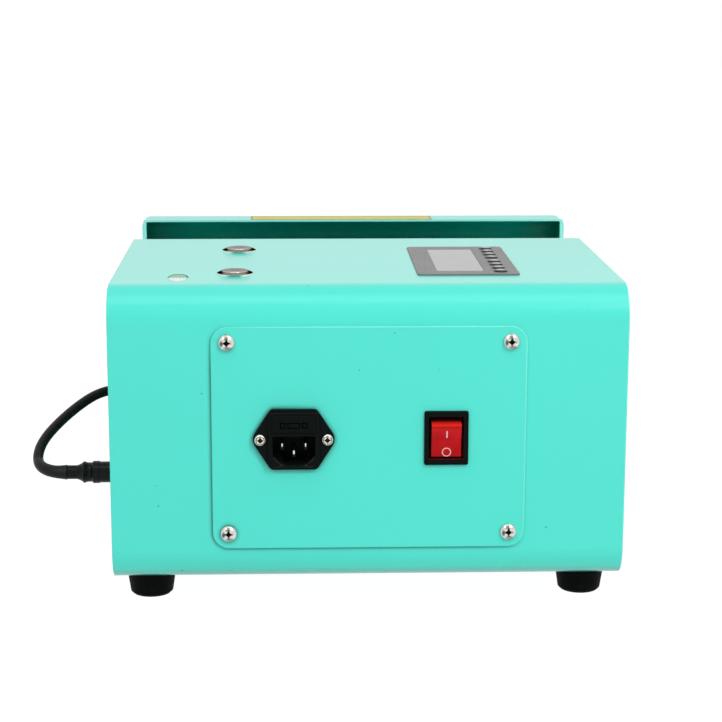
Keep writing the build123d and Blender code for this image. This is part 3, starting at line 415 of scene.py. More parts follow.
def enamel(name, middle=None, plate=None):
    """Semi-gloss turquoise enamel with painted highlights on edges, painted shade in crevices and
    painted shadow on its underside.

    Where a plate is named, a painted shade line lies beside its lower and back edges and painted
    highlights on its others, as the photograph shows them. Where a middle is given, the sides that
    face it get painted shade and less coat, and the lip beside them a painted highlight.
    """
    made, tree, principled = shader(name, TEAL, 0.28, Specular_IOR_Level=0.1, Coat_Weight=0.62,
                                    Coat_Roughness=0.2)
    broad = spread(tree, noise(tree, 9, 2.0), over=(0.15, 0.85))
    color = mixed(tree, broad, TEAL, TEAL_DEEPER)
    # Painted shade in crevices, or beside a plate's edges, and painted highlights on edges
    if plate:
        dark, light = plate_lines(tree, plate)
    else:
        dark = sheltered(tree, 0.002, over=(0.15, 0.5))
        light = calculated(tree, "MULTIPLY", highlight_edges(tree), EDGE_HIGHLIGHT)
    color = mixed(tree, light, color, TEAL_HIGHLIGHT)
    # Painted shadow on the underside
    below = facing(tree, 2, (-0.6, -0.98), UNDERSIDE_SHADOW)
    color = mixed(tree, below, color, TEAL_SHADOW)
    if middle:
        # Painted highlight on the hood's lip; painted shade, with less coat, on the sides inside
        # the hood
        lip = facing(tree, 0, (-0.8, -0.99), LIP_HIGHLIGHT)
        color = mixed(tree, lip, color, TEAL_HIGHLIGHT)
        inside = inward(tree, middle)
        color = mixed(tree, inside, color, TEAL_INSIDE_SHADE)
        coat = spread(tree, inside, (0.5, 0.1), over=(0, 1))
        link(tree, coat, principled.inputs["Coat Weight"])
    painted(tree, principled, mixed(tree, dark, color, TEAL_SHADOW))
    rough = spread(tree, broad, (0.27, 0.29), over=(0, 1))
    link(tree, rough, principled.inputs["Roughness"])
    normal = relief(tree, principled, noise(tree, 500, 2.0), 0.002, edge=0.0007)
    link(tree, normal, principled.inputs["Coat Normal"])
    return made


def plain_steel():
    """Plated steel with painted brown shade in its recesses."""
    bright = (0.55, 0.53, 0.50)
    brown = (0.045, 0.033, 0.014)
    made, tree, principled = shader("screw_steel", bright, 0.22, metallic=1.0)
    painted(tree, principled, mixed(tree, sheltered(tree, 0.0016), bright, brown))
    relief(tree, principled, noise(tree, 1500, 2.0), 0.1, edge=0.0006)
    return made


# Screws of the access plate and of the inlet: their pitch, the star of painted shade in their
# recess (half width, power, colour) and the painted reflections on their heads (place, half size,
# softness, colour)
PLATE_PITCH = (169.0, 117.2)
PLATE_STAR = (3.1, 0.66, (0.004, 0.004, 0.003))
PLATE_REFLECTIONS = [
    ((3.1, -0.4), (0.9, 1.7), 0.8, (0.09, 0.10, 0.11)),
    ((-0.6, -3.3), (2.4, 1.1), 0.8, (0.27, 0.26, 0.22)),
    ((0.4, 3.3), (1.4, 1.4), 0.8, (0.27, 0.26, 0.21)),
]
INLET_PITCH = (40.0, 0.0)
INLET_STAR = (2.0, 1.0, (0.022, 0.016, 0.004))
INLET_REFLECTIONS = [
    ((0, 0), (2.75, 2.75), 0.15, (0.16, 0.13, 0.09)),
    ((0, 0), (2.1, 2.1), 0.2, (0.80, 0.78, 0.70)),
]


def crossed_steel(name, node, pitch, recess, reflections):
    """Plated steel of screws in a rectangle, each head with painted reflections and a star of
    painted shade in its recess.
    """
    color = (0.66, 0.65, 0.62)
    made, tree, principled = shader(name, color, 0.2, metallic=1.0)
    offsets = offsets_from(tree, node, FACE_AXES, pitch)
    for place, half, soft, reflection in reflections:
        color = mixed(tree, blot(tree, offsets, place, half, soft), color, reflection)
    size, power, dark = recess
    painted(tree, principled, mixed(tree, star(tree, offsets, size, power), color, dark))
    relief(tree, principled, noise(tree, 1500, 2.0), 0.1, rough=(0.14, 0.26), edge=0.0006)
    return made


# Painted highlights (glints) on the tips of the inlet's blades: place and half width
PIN_GLINTS = [((-7.0, 3.2), 0.36), ((7.0, 3.2), 0.36), ((0.0, -1.2), 0.5)]
PIN_GLINT_HEIGHT = 1.3


def pin_metal():
    """Nickel blades painted near black as shade in the mouth, with a painted highlight on each
    tip.
    """
    color = (0.012, 0.012, 0.012)
    bright = (0.8, 0.8, 0.78)
    made, tree, principled = shader("pin_metal", color, 0.3, metallic=1.0)
    offsets = offsets_from(tree, "inlet_pins", FACE_AXES)
    for place, half in PIN_GLINTS:
        glint = blot(tree, offsets, place, (half, PIN_GLINT_HEIGHT), 0.4)
        color = mixed(tree, glint, color, bright)
    painted(tree, principled, color)
    relief(tree, principled, noise(tree, 900), 0.1, edge=0.0005)
    return made


# Black plastic, and the lower corners of the inlet's mouth, where highlights are painted on its
# edges: their place and half size from the middle of its pins
BLACK = (0.0045, 0.0066, 0.0062)
MOUTH_CORNER = (9.4, -6.6)
MOUTH_CORNER_HALF = (4.2, 3.6)


def inlet_black():
    """Moulded black with painted highlights on the edges of the lower corners of the mouth."""
    pale = (0.12, 0.11, 0.09)
    made, tree, principled = shader("inlet_black", BLACK, 0.34, Specular_IOR_Level=0.03)
    across, height = offsets_from(tree, "inlet_pins", FACE_AXES)
    either_side = (calculated(tree, "ABSOLUTE", across), height)
    corner = blot(tree, either_side, MOUTH_CORNER, MOUTH_CORNER_HALF, 0.3)
    edge = calculated(tree, "MULTIPLY", highlight_edges(tree, 0.0005), corner)
    painted(tree, principled, mixed(tree, edge, BLACK, pale))
    relief(tree, principled, noise(tree, 900), 0.15, rough=(0.28, 0.4))
    return made


# Push buttons: their pitch, and the radii at which a bezel's slope begins and ends
BUTTON_PITCH = (96.0, 0.0)
BUTTON_TOP = 8.4
BUTTON_FOOT = 11.1


def button_metal():
    """Nickel with painted reflections: light tops, slopes that darken to the sides, a foot green
    in the middle and bright at the sides.
    """
    light = (0.50, 0.475, 0.465)
    grey = (0.30, 0.26, 0.23)
    dark = (0.012, 0.012, 0.01)
    brown = (0.09, 0.048, 0.026)
    green = (0.10, 0.36, 0.30)
    bright = (0.95, 0.95, 0.93)
    made, tree, principled = shader("button_steel", light, 0.2, metallic=1.0)
    # All these colours are painted reflections and highlights, and they tint the metal's
    # reflection too
    offsets = offsets_from(tree, "button_bezels", TOP_AXES, BUTTON_PITCH)
    along = offsets[1]
    slope = mixed(tree, spread(tree, along, over=(0.006, 0.009)), grey, dark)
    slope = mixed(tree, spread(tree, along, over=(-0.006, -0.009)), slope, brown)
    aside = spread(tree, calculated(tree, "ABSOLUTE", along), over=(0.003, 0.006))
    color = mixed(tree, aside, green, bright)
    for radius, soft, reflection in ((BUTTON_FOOT, 0.02, slope), (BUTTON_TOP, 0.05, light)):
        disc = blot(tree, offsets, (0, 0), (radius, radius), soft)
        color = mixed(tree, disc, color, reflection)
    painted(tree, principled, color)
    link(tree, color, principled.inputs["Specular Tint"])
    relief(tree, principled, noise(tree, 1200, 2.0), 0.12, rough=(0.2, 0.32))
    return made


def key_plastic():
    """Key tops painted grey as reflected light, on sides painted black as shade."""
    grey = (0.42, 0.42, 0.41)
    black = (0.002, 0.002, 0.002)
    made, tree, principled = shader("key_plastic", grey, 0.25, Specular_IOR_Level=0.4)
    painted(tree, principled, mixed(tree, facing(tree, 2, (0.95, 0.985)), black, grey))
    relief(tree, principled, noise(tree, 900, 2.0), 0.15)
    return made


def clear_red():
    """Clear red plastic, darker towards its foot, with a painted highlight above the rocker's
    ridge, a painted shade line on it, and painted shade in patches below and in its gap.
    """
    high = (0.67, 0.014, 0.018)
    low = (0.46, 0.007, 0.010)
    deep = (0.33, 0.005, 0.007)
    bright = (0.72, 0.018, 0.013)
    dark = (0.2, 0.004, 0.005)
    gap = (0.05, 0.001, 0.001)
    made, tree, principled = shader("rocker_red", high, 0.25, Specular_IOR_Level=0.05)
    rocker = ray_tree("switch_rocker")
    ridge = met(rocker, at(*CAMERA_PLACE), sight(ROCKER_RIDGE_PIXEL))[0].z
    foot = reach("switch_rocker", 0, 2) * MM
    height = split(tree, coordinates(tree))[2]
    color = mixed(tree, spread(tree, height, over=(ridge, foot)), high, low)
    patches = spread(tree, noise(tree, 120, 1.0), (0, 0.5), over=(0.35, 0.7))
    color = mixed(tree, patches, color, deep)
    above = spread(tree, height, over=(ridge + 0.0001, ridge + 0.0004))
    color = mixed(tree, above, color, bright)
    away = calculated(tree, "ABSOLUTE", calculated(tree, "SUBTRACT", height, ridge))
    color = mixed(tree, spread(tree, away, (0.55, 0), over=(0.0001, 0.0006)), color, dark)
    painted(tree, principled, mixed(tree, sheltered(tree, 0.003), color, gap))
    relief(tree, principled, noise(tree, 600, 1.0), 0.05, edge=0.0005)
    return made


# Half size of the switch frame's window
SWITCH_WINDOW = (10.6, 13.0)


def switch_black():
    """Black plastic with the rocker's red light painted in its recess."""
    red = (0.42, 0.003, 0.008)
    made, tree, principled = shader("switch_black", BLACK, 0.35, Specular_IOR_Level=0.03)
    window = within(tree, offsets_from(tree, "switch_frame", FACE_AXES), SWITCH_WINDOW)
    glow = calculated(tree, "MULTIPLY", window, sheltered(tree, 0.004, over=(0.5, 0.8)))
    painted(tree, principled, mixed(tree, glow, BLACK, red))
    relief(tree, principled, noise(tree, 900), 0.1, edge=0.0005)
    return made


# A wave texture of this scale has a pitch of about a millimetre
WEAVE_SCALE = 300


def woven_silicone():
    """Rubber pressed on a glass-fibre weave."""
    black = (0.03, 0.03, 0.032)
    made, tree, principled = shader("heater_silicone", black, 0.55)
    bands = []
    for direction in ("Y", "Z"):
        wave = tree.nodes.new("ShaderNodeTexWave")
        wave.bands_direction = direction
        wave.inputs["Scale"].default_value = WEAVE_SCALE
        wave.inputs["Distortion"].default_value = 0.4
        link(tree, coordinates(tree), wave.inputs["Vector"])
        bands.append(wave.outputs["Fac"])
    height = calculated(tree, "MULTIPLY", *bands)
    painted(tree, principled, mixed(tree, height, black, scaled(black, 1.6)))
    relief(tree, principled, height, 0.4, depth=0.0001)
    return made


MATERIALS = {
    "enamel": enamel("turquoise_enamel"),
    "face_enamel": enamel("face_enamel", plate="access_plate"),
    "hood_enamel": enamel("hood_enamel", middle=HOOD_MIDDLE),
    "moulded_black": surface("moulded_black", BLACK, 0.34, Specular_IOR_Level=0.03),
    "inlet_black": inlet_black(),
    "sign_black": surface("sign_black", (0.0007, 0.001, 0.001), 0.5, Specular_IOR_Level=0.0),
    "switch_black": switch_black(),
    "gloss_black": surface("gloss_black", (0.003, 0.0045, 0.0043), 0.15, Specular_IOR_Level=0.13),
    "rubber": surface("foot_rubber", (0.0035, 0.004, 0.004), 0.6, grain=500, strength=0.3,
                      Specular_IOR_Level=0.04),
    "steel": plain_steel(),
    "plate_steel": crossed_steel("plate_screw_steel", "access_plate_screws", PLATE_PITCH,
                                 PLATE_STAR, PLATE_REFLECTIONS),
    "inlet_steel": crossed_steel("inlet_screw_steel", "inlet_screws", INLET_PITCH,
                                 INLET_STAR, INLET_REFLECTIONS),
    # Painted shade for the small screws' recesses
    "recess_dark": surface("screw_recess", (0.01, 0.008, 0.005), 0.5),
    "pin": pin_metal(),
    "button_steel": button_metal(),
    "plated": surface("plated_metal", (0.66, 0.64, 0.6), 0.2, metallic=1.0),
    "brass": surface("brass", (0.7, 0.5, 0.2), 0.3, metallic=1.0),
    "aluminium": surface("aluminium", (0.72, 0.73, 0.74), 0.36, metallic=1.0),
    "grey_plastic": surface("grey_plastic", (0.15, 0.15, 0.147), 0.42),
    "key": key_plastic(),
    "glass_pane": surface("display_pane", (0.29, 0.294, 0.288), 0.16, strength=0.0),
    "board": surface("circuit_board", (0.03, 0.2, 0.08), 0.5),
    "silicone": woven_silicone(),
    "soft_black": surface("boot_rubber", (0.02, 0.02, 0.021), 0.5),
    "stainless": surface("stainless_sheet", (0.6, 0.6, 0.59), 0.3, metallic=1.0, grain=2500,
                         stretch=(1, 0.03, 1)),
    "powder_black": surface("powder_black", (0.025, 0.025, 0.027), 0.5, strength=0.4),
    "red": clear_red(),
    "cable": surface("cable_sheath", (0.012, 0.008, 0.0078), 0.42, Specular_IOR_Level=0.12),
    "shrink": surface("shrink_tube", (0.0115, 0.013, 0.0125), 0.38, grain=400, strength=0.25,
                      depth=0.00006, Specular_IOR_Level=0.15),
    "mark_white": surface("mark_white", (0.95, 0.57, 0.54), 0.4),
    "mark_dark": surface("mark_dark", (0.05, 0.045, 0.045), 0.4),
    "mark_faint": surface("mark_faint", (0.30, 0.19, 0.20), 0.5),
    "mark_light": surface("mark_light", (0.34, 0.34, 0.33), 0.5),
    "speck": surface("paint_speck", (0.02, 0.45, 0.38), 0.4),
    "label": surface("yellow_film", (0.80, 0.67, 0.15), 0.5, shade=0.94, Specular_IOR_Level=0.05),
    "label_line": surface("dark_film", (0.05, 0.06, 0.05), 0.35),
    "seal_green": surface("green_film", (0.22, 0.55, 0.32), 0.35, Specular_IOR_Level=0.15),
    "seal_rim": surface("dark_green_film", (0.02, 0.12, 0.05), 0.4, Specular_IOR_Level=0.05),
    "seal_white": surface("white_film", (0.9, 0.92, 0.9), 0.3),
}

FINISHES = {
    "enamel": ["divider_wall", "front_panel", "back_panel"],
    "face_enamel": ["control_box_shell", "access_plate"],
    "hood_enamel": ["hood_shell"],
    "moulded_black": ["fuse_drawer"],
    "inlet_black": ["inlet_body"],
    "switch_black": ["switch_frame"],
    "rubber": ["feet"],
    "steel": ["bay_screws", "end_panel_screws", "bearing_screws", "foot_screws"],
    "plate_steel": ["access_plate_screws"],
    "inlet_steel": ["inlet_screws"],
    "pin": ["inlet_pins"],
    "button_steel": ["button_bezels", "start_button", "stop_button"],
    "gloss_black": ["plug_ring", "plug_body", "plug_sleeve"],
    "plated": ["heater_socket", "guide_rods", "actuator_rod", "fuses"],
    "brass": ["button_nuts", "socket_nut", "board_standoffs"],
    "aluminium": ["rod_supports", "carriage_bearings", "actuator_tube", "board_heat_sink",
                  "power_supply"],
    "grey_plastic": ["display_bezel"],
    "key": KEYS,
    "glass_pane": ["display_window"],
    "board": ["display_board", "control_board"],
    "silicone": ["fixed_heating_mat", "moving_heating_mat"],
    "soft_black": ["lead_boot"],
    "stainless": ["fixed_jaw_shell", "moving_jaw_shell"],
    "powder_black": ["fixed_jaw_bracket", "jaw_carriage", "actuator_clamps", "actuator_gearbox",
                     "actuator_motor"],
    "red": ["switch_rocker"],
    "cable": ["heater_cable"],
    "shrink": ["cable_shrink"],
}


def dress_nodes():
    """Each node of the frame gets its material."""
    for finish, names in FINISHES.items():
        for name in names:
            mesh = nodes[name].data
            mesh.materials.clear()
            mesh.materials.append(MATERIALS[finish])


# Camera, light and floor: each lamp's place, its size in metres and its power
LAMPS = {
    "right": ((-1100, -800, 1200), (0.45, 0.45), 12.3),
    "left": ((-1100, 850, 1200), (0.45, 0.45), 4.5),
    "strip": ((-450, 0, 1500), (2.6, 0.8), 6.5),
}
LAMP_TARGET = (100, 0, 110)

# Strengths of the sky, and the ranges of height and depth that they go over
SKY_HIGH = 0.41
SKY_LOW = 0.14
SKY_RISE = (0.2, 0.6)
SKY_BEHIND = 0.45
BEHIND_DEPTH = (0.3, 0.9)
BEHIND_HEIGHT = (0.3, 0.7)

FLOOR_HALF = 6.0
FLOOR_GLOW = 1.15
FLOOR_SHARE = 0.86


def make_camera():
    """The photograph's camera."""
    data = bpy.data.cameras.new("camera")
    data.lens = CAMERA_LENS
    data.sensor_width = SENSOR
    turn = Matrix((RIGHT, UP, -FORWARD)).transposed()
    camera = bpy.data.objects.new("camera", data)
    camera.matrix_world = Matrix.Translation(at(*CAMERA_PLACE)) @ turn.to_4x4()
    bpy.context.scene.collection.objects.link(camera)
    bpy.context.scene.camera = camera


def make_lamp(name, place, size, power):
    """An oval lamp that shines on the press."""
    data = bpy.data.lights.new(name, "AREA")
    data.shape = "ELLIPSE"
    data.size, data.size_y = size
    data.energy = power
    light = bpy.data.objects.new(name, data)
    light.location = at(*place)
    aim = at(*LAMP_TARGET) - light.location
    light.rotation_euler = aim.to_track_quat("-Z", "Y").to_euler()
    bpy.context.scene.collection.objects.link(light)


def seen_directly(tree):
    """1 for what the camera sees directly, in a mirror or through glass."""
    path = tree.nodes.new("ShaderNodeLightPath")
    total = path.outputs["Is Camera Ray"]
    for name in ("Is Glossy Ray", "Is Transmission Ray"):
        total = calculated(tree, "MAXIMUM", total, path.outputs[name])
    return total


def make_world():
    """A studio that is bright above and behind the hood, and white where it is seen."""
    world = bpy.data.worlds.new("studio")
    bpy.context.scene.world = world
    world.use_nodes = True
    tree = world.node_tree
    background = tree.nodes["Background"]
    background.inputs["Color"].default_value = (1, 1, 1, 1)
    place = tree.nodes.new("ShaderNodeTexCoord")
    parts = split(tree, place.outputs["Generated"])
    sky = spread(tree, parts[2], (SKY_LOW, SKY_HIGH), SKY_RISE)
    behind = calculated(tree, "MULTIPLY", spread(tree, parts[0], (0, SKY_BEHIND), BEHIND_DEPTH),
                        spread(tree, parts[2], (1, 0), BEHIND_HEIGHT))
    lit = calculated(tree, "ADD", sky, behind)
    strength = calculated(tree, "MAXIMUM", lit, seen_directly(tree))
    link(tree, strength, background.inputs["Strength"])


def make_floor():
    """A pale floor that glows where it is seen, so that it is white there."""
    mesh = bpy.data.meshes.new("floor")
    corners = [(a * FLOOR_HALF, b * FLOOR_HALF, 0) for a, b in CORNERS]
    mesh.from_pydata(corners, [], [(0, 1, 2, 3)])
    floor = bpy.data.objects.new("floor", mesh)
    bpy.context.scene.collection.objects.link(floor)
    made, tree, principled = shader("white_floor", (0.9, 0.9, 0.9), 0.6, Specular_IOR_Level=0.2)
    glow = tree.nodes.new("ShaderNodeEmission")
    glow.inputs["Strength"].default_value = FLOOR_GLOW
    mix = tree.nodes.new("ShaderNodeMixShader")
    share = calculated(tree, "MULTIPLY", seen_directly(tree), FLOOR_SHARE)
    link(tree, share, mix.inputs[0])
    link(tree, principled.outputs[0], mix.inputs[1])
    link(tree, glow.outputs[0], mix.inputs[2])
    link(tree, mix.outputs[0], tree.nodes["Material Output"].inputs["Surface"])
    mesh.materials.append(made)


# Pieces: thicknesses of layers over a surface and under it, in millimetres
LAYER_PROUD = 0.05
LAYER_SUNK = 0.05
FILM_PROUD = 0.08
FUSE_SIGN_PROUD = 0.12
RING_PROUD = 0.03
DASH_PROUD = 0.02
SMALL_PROUD = 0.04

# Points closer than this, in metres, are one, and edges sharper than this aren't smooth
MERGE = 0.000001
SHARP = math.radians(40)

# How far from a surface the rays that find it start, and the points of a round outline
RAY_START = 20.0
ROUND_STEPS = 48


def piece(name, shape, material, body, smooth=False):
    """A finished shape as a piece that rides on a body."""
    bmesh.ops.remove_doubles(shape, verts=shape.verts, dist=MERGE)
    bmesh.ops.recalc_face_normals(shape, faces=shape.faces)
    mesh = bpy.data.meshes.new(name)
    shape.to_mesh(mesh)
    shape.free()
    mesh.materials.append(MATERIALS[material])
    if smooth:
        mesh.shade_smooth()
        mesh.set_sharp_from_angle(angle=SHARP)
    made = bpy.data.objects.new(name, mesh)
    bpy.context.scene.collection.objects.link(made)
    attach(made, body)
    return made


def add_layer(shape, rows, closed=False, proud=LAYER_PROUD):
    """A thin layer over rows of points, each a place on a surface and the way it faces."""
    tops = [[shape.verts.new(place + proud * MM * way) for place, way in row] for row in rows]
    lows = [[shape.verts.new(place - LAYER_SUNK * MM * way) for place, way in row]
            for row in rows]
    count = len(rows[0])
    steps = [(i, (i + 1) % count) for i in range(count if closed else count - 1)]
    for grid in (tops, lows):
        for near, far in zip(grid, grid[1:]):
            for i, j in steps:
                shape.faces.new((near[i], near[j], far[j], far[i]))
    for k in (0, -1):
        for i, j in steps:
            shape.faces.new((tops[k][i], tops[k][j], lows[k][j], lows[k][i]))
    if not closed:
        for k in range(len(rows) - 1):
            for i in (0, -1):
                shape.faces.new((tops[k][i], tops[k + 1][i], lows[k + 1][i], lows[k][i]))


def lying(x, y, z):
    """A place on a surface that faces up."""
    return at(x, y, z), Vector((0, 0, 1))


def ellipse(x, y, half_x, half_y, start=0.0, turn=360.0, count=ROUND_STEPS):
    """Points of an ellipse, or of part of it, in X and Y."""
    angles = [math.radians(start + turn * i / count) for i in range(count + (turn < 360))]
    return [(x + half_x * math.cos(a), y + half_y * math.sin(a)) for a in angles]


def circle(x, y, radius, count=ROUND_STEPS):
    """Points of a circle, in X and Y."""
    return ellipse(x, y, radius, radius, count=count)


# Marks on the rocker: the line's width and height, and the ring's outer and inner radius
ON_MARK = (0.85, 4.5)
ON_MARK_STEPS = 8
OFF_MARK_RADII = (2.75, 2.2)


def rocker_marks():
    """The line and the ring that are printed on the rocker."""
    rocker = ray_tree("switch_rocker")
    start = reach("switch_rocker", 0, 0) - RAY_START

    def dropped(y, z):
        return met(rocker, at(start, y, z), Vector((1, 0, 0)))

    def middle(pixel):
        place = met(rocker, at(*CAMERA_PLACE), sight(pixel))[0] - ORIGIN
        return place.y / MM, place.z / MM

    y, z = middle(ROCKER_ON_PIXEL)
    width, height = ON_MARK
    line = bmesh.new()
    steps = [height * (i / ON_MARK_STEPS - 0.5) for i in range(ON_MARK_STEPS + 1)]
    sides = (y - width / 2, y + width / 2)
    add_layer(line, [[dropped(side, z + step) for step in steps] for side in sides])
    piece("rocker_line_mark", line, "mark_white", "rocker")
    y, z = middle(ROCKER_OFF_PIXEL)
    ring = bmesh.new()
    rows = []
    for radius in OFF_MARK_RADII:
        rows.append([dropped(*point) for point in circle(y, z, radius)])
    add_layer(ring, rows, closed=True)
    piece("rocker_ring_mark", ring, "mark_white", "rocker")


# Marks on the push buttons: the ring's outer and inner radius
BUTTON_RING_RADII = (2.9, 2.2)


def button_marks():
    """A small dark ring on each cap."""
    for name in ("start_button", "stop_button"):
        x, y = middle_of(name)[:2]
        top = reach(name, 1, 2)
        ring = bmesh.new()
        rows = []
        for radius in BUTTON_RING_RADII:
            rows.append([lying(*point, top) for point in circle(x, y, radius)])
        add_layer(ring, rows, closed=True, proud=RING_PROUD)
        piece(name + "_mark", ring, "mark_dark", name)


# Films on the hood and the box: their places and sizes in X and Y, and the widths of their rims
LABEL_SIZE = (19.0, 132.8)
LABEL_MIDDLE = (294.5, 9.2)
LABEL_BORDER = 0.9
SEAL_MIDDLE = (41.0, 115.0)
SEAL_HALF = (12.2, 5.5)
SEAL_RIM = (2.0, 0.8)
SEAL_STEPS = 32


def rectangle(x, y, width, length):
    """The four corners of a rectangle, in X and Y."""
    return [(x + a * width / 2, y + b * length / 2) for a, b in CORNERS]


def hood_label():
    """A bare yellow film with a thin dark border."""
    edge = bmesh.new()
    inner_size = [size - 2 * LABEL_BORDER for size in LABEL_SIZE]
    outer = [lying(*p, HOOD_TOP) for p in rectangle(*LABEL_MIDDLE, *LABEL_SIZE)]
    inner = [lying(*p, HOOD_TOP) for p in rectangle(*LABEL_MIDDLE, *inner_size)]
    add_layer(edge, [outer, inner], closed=True, proud=FILM_PROUD)
    piece("hood_label_border", edge, "label_line", "housing")
    film = bmesh.new()
    add_layer(film, [inner[:2], inner[:1:-1]], proud=FILM_PROUD)
    piece("hood_label_film", film, "label", "housing")


def round_seal():
    """A bare oval film, green on its far half and white on its near half."""
    x, y = SEAL_MIDDLE
    for name, start, material in (("far", -90, "seal_green"), ("near", 90, "seal_white")):
        shape = bmesh.new()
        arc = ellipse(x, y, *SEAL_HALF, start, 180.0, SEAL_STEPS)
        chord = [(x, point[1]) for point in arc]
        rows = [[lying(*p, BOX_TOP) for p in row] for row in (arc, chord)]
        add_layer(shape, rows, proud=FILM_PROUD)
        piece("seal_" + name + "_half", shape, material, "housing")
    rim = bmesh.new()
    rows = []
    for share in (0, 1):
        half = [size + share * grow for size, grow in zip(SEAL_HALF, SEAL_RIM)]
        arc = ellipse(x, y, *half, -90, 180.0, SEAL_STEPS)
        rows.append([lying(*p, BOX_TOP) for p in arc])
    add_layer(rim, rows, proud=FILM_PROUD)
    piece("seal_rim", rim, "seal_rim", "housing")


# Controller: places along Y and sizes of the dashes and the dots beside the keys
DASH_Y = -93.5
DASH_SIZE = (0.8, 3.6)
DOT_Y = -77.3
DOT_RADIUS = 0.8
DOT_STEPS = 16


def controller_marks():
    """A faint dash beside each key on one side, and a small light dot on the other."""
    top = reach("display_bezel", 1, 2)
    dashes = bmesh.new()
    dots = bmesh.new()
    for name in KEYS:
        x = middle_of(name)[0]
        corners = [lying(*p, top) for p in rectangle(x, DASH_Y, *DASH_SIZE)]
        add_layer(dashes, [corners[:2], corners[:1:-1]], proud=DASH_PROUD)
        rim = [lying(*p, top) for p in circle(x, DOT_Y, DOT_RADIUS, DOT_STEPS)]
        middle = [lying(x, DOT_Y, top)] * len(rim)
        add_layer(dots, [rim, middle], closed=True)
    piece("key_dashes", dashes, "mark_faint", "housing")
    piece("key_lights", dots, "mark_light", "housing")


# Keys: the width and height of the hidden flange, the height of the dome's foot, and its steps
KEY_SKIRT = 0.8
KEY_FLANGE = 1.0
KEY_FOOT = 0.15
KEY_DOME_STEPS = 12
TURNED_STEPS = 40


def add_sides(shape, rings):
    """Faces from each ring of points to the next."""
    for near, far in zip(rings, rings[1:]):
        for i in range(len(near)):
            j = (i + 1) % len(near)
            shape.faces.new((near[i], near[j], far[j], far[i]))


def turned(shape, x, y, profile):
    """A solid turned round an upright line, from its outline of radii and heights."""
    rings = []
    for radius, z in profile:
        points = circle(x, y, radius, TURNED_STEPS)
        rings.append([shape.verts.new(at(*point, z)) for point in points])
    add_sides(shape, rings)


def domed_keys():
    """Each key as a low dome on its hidden flange."""
    top = reach("display_bezel", 1, 2)
    for name in KEYS:
        x, y = middle_of(name)[:2]
        bottom = reach(name, 0, 2)
        crown = reach(name, 1, 2)
        wide = (reach(name, 1, 0) - reach(name, 0, 0)) / 2
        radius = wide - KEY_SKIRT
        shoulder = bottom + KEY_FLANGE
        profile = [(0, bottom), (wide, bottom), (wide, shoulder), (radius, shoulder)]
        for step in range(KEY_DOME_STEPS + 1):
            angle = math.pi / 2 * step / KEY_DOME_STEPS
            height = KEY_FOOT + (crown - top - KEY_FOOT) * math.sin(angle)
            profile.append((radius * math.cos(angle), top + height))
        shape = bmesh.new()
        turned(shape, x, y, profile)
        cap_name = name.replace("key", "key_cap")
        cap = piece(cap_name, shape, "key", name, smooth=True)
        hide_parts(name)


# Dark stars of painted shade that stand for the small screws' recesses: half width of the star's
# long and short points, then each node with the axis that its heads face, their side of it and the
# body
STAR_LONG = 1.75
STAR_SHORT = 0.6
STAR_POINTS = 8
SMALL_SCREWS = [
    ("end_panel_screws", 1, 0, "housing"),
    ("bay_screws", 0, 1, "housing"),
    ("bearing_screws", 2, 1, "jaw"),
    ("foot_screws", 2, -1, "housing"),
]


def solids_of(name):
    """The middle of each separate solid of a node."""
    shape = bmesh.new()
    shape.from_mesh(nodes[name].data)
    bmesh.ops.remove_doubles(shape, verts=shape.verts, dist=MERGE)
    found = set()
    middles = []
    for first in shape.verts:
        if first in found:
            continue
        found.add(first)
        group = [first]
        for vert in group:
            for edge in vert.link_edges:
                other = edge.other_vert(vert)
                if other not in found:
                    found.add(other)
                    group.append(other)
        sides = list(zip(*[vert.co for vert in group]))
        middles.append(Vector([(min(side) + max(side)) / 2 for side in sides]))
    shape.free()
    return middles


def screw_recesses():
    """A dark four-pointed layer on the head of each small screw, painted shade that stands for its
    recess.
    """
    for name, axis, side, body in SMALL_SCREWS:
        tree = ray_tree(name)
        shape = bmesh.new()
        for middle in solids_of(name):
            out = Vector((0, 0, 0))
            out[axis] = side or math.copysign(1, (middle - ORIGIN)[axis])
            across = Vector((1, 0, 0)) if axis == 2 else Vector((0, 0, 1))
            other = out.cross(across)
            above = middle + RAY_START * MM * out
            rows = []
            for share in (1.0, 0.5, 0.0):
                row = []
                for i in range(STAR_POINTS):
                    angle = math.tau * i / STAR_POINTS
                    size = share * (STAR_SHORT if i % 2 else STAR_LONG) * MM
                    start = above + size * turned_to(angle, across, other)
                    row.append(met(tree, start, -out))
                rows.append(row)
            add_layer(shape, rows, closed=True, proud=SMALL_PROUD)
        piece(name + "_recesses", shape, "recess_dark", body)


# Fuse drawer: each frame's place and width, then their height, line and drop from the middle
FUSE_SIGN = [(-6.5, 3.2), (0.0, 7.6), (6.5, 3.2)]
FUSE_SIGN_HEIGHT = 3.5
FUSE_SIGN_LINE = 0.5
FUSE_SIGN_DROP = 0.6


def fuse_sign():
    """Three thin frames in a row, the common sign for a fuse, raised on the drawer's front."""
    y, z = middle_of("fuse_drawer")[1:]
    face = reach("fuse_drawer", 0, 0)
    shape = bmesh.new()
    for offset, width in FUSE_SIGN:
        rows = []
        for inset in (0, 2 * FUSE_SIGN_LINE):
            outline = rectangle(y + offset, z - FUSE_SIGN_DROP, width - inset,
                                FUSE_SIGN_HEIGHT - inset)
            rows.append([(at(face, *point), Vector((-1, 0, 0))) for point in outline])
        add_layer(shape, rows, closed=True, proud=FUSE_SIGN_PROUD)
    piece("fuse_sign", shape, "sign_black", "drawer")


# Specks in the paint: their radius and height, the shares by which they differ, and their steps
SPECK_RADIUS = 0.45
SPECK_HEIGHT = 0.06
SPECK_VARIES = 0.4
SPECK_UNEVEN = 0.15
SPECK_STEPS = 10


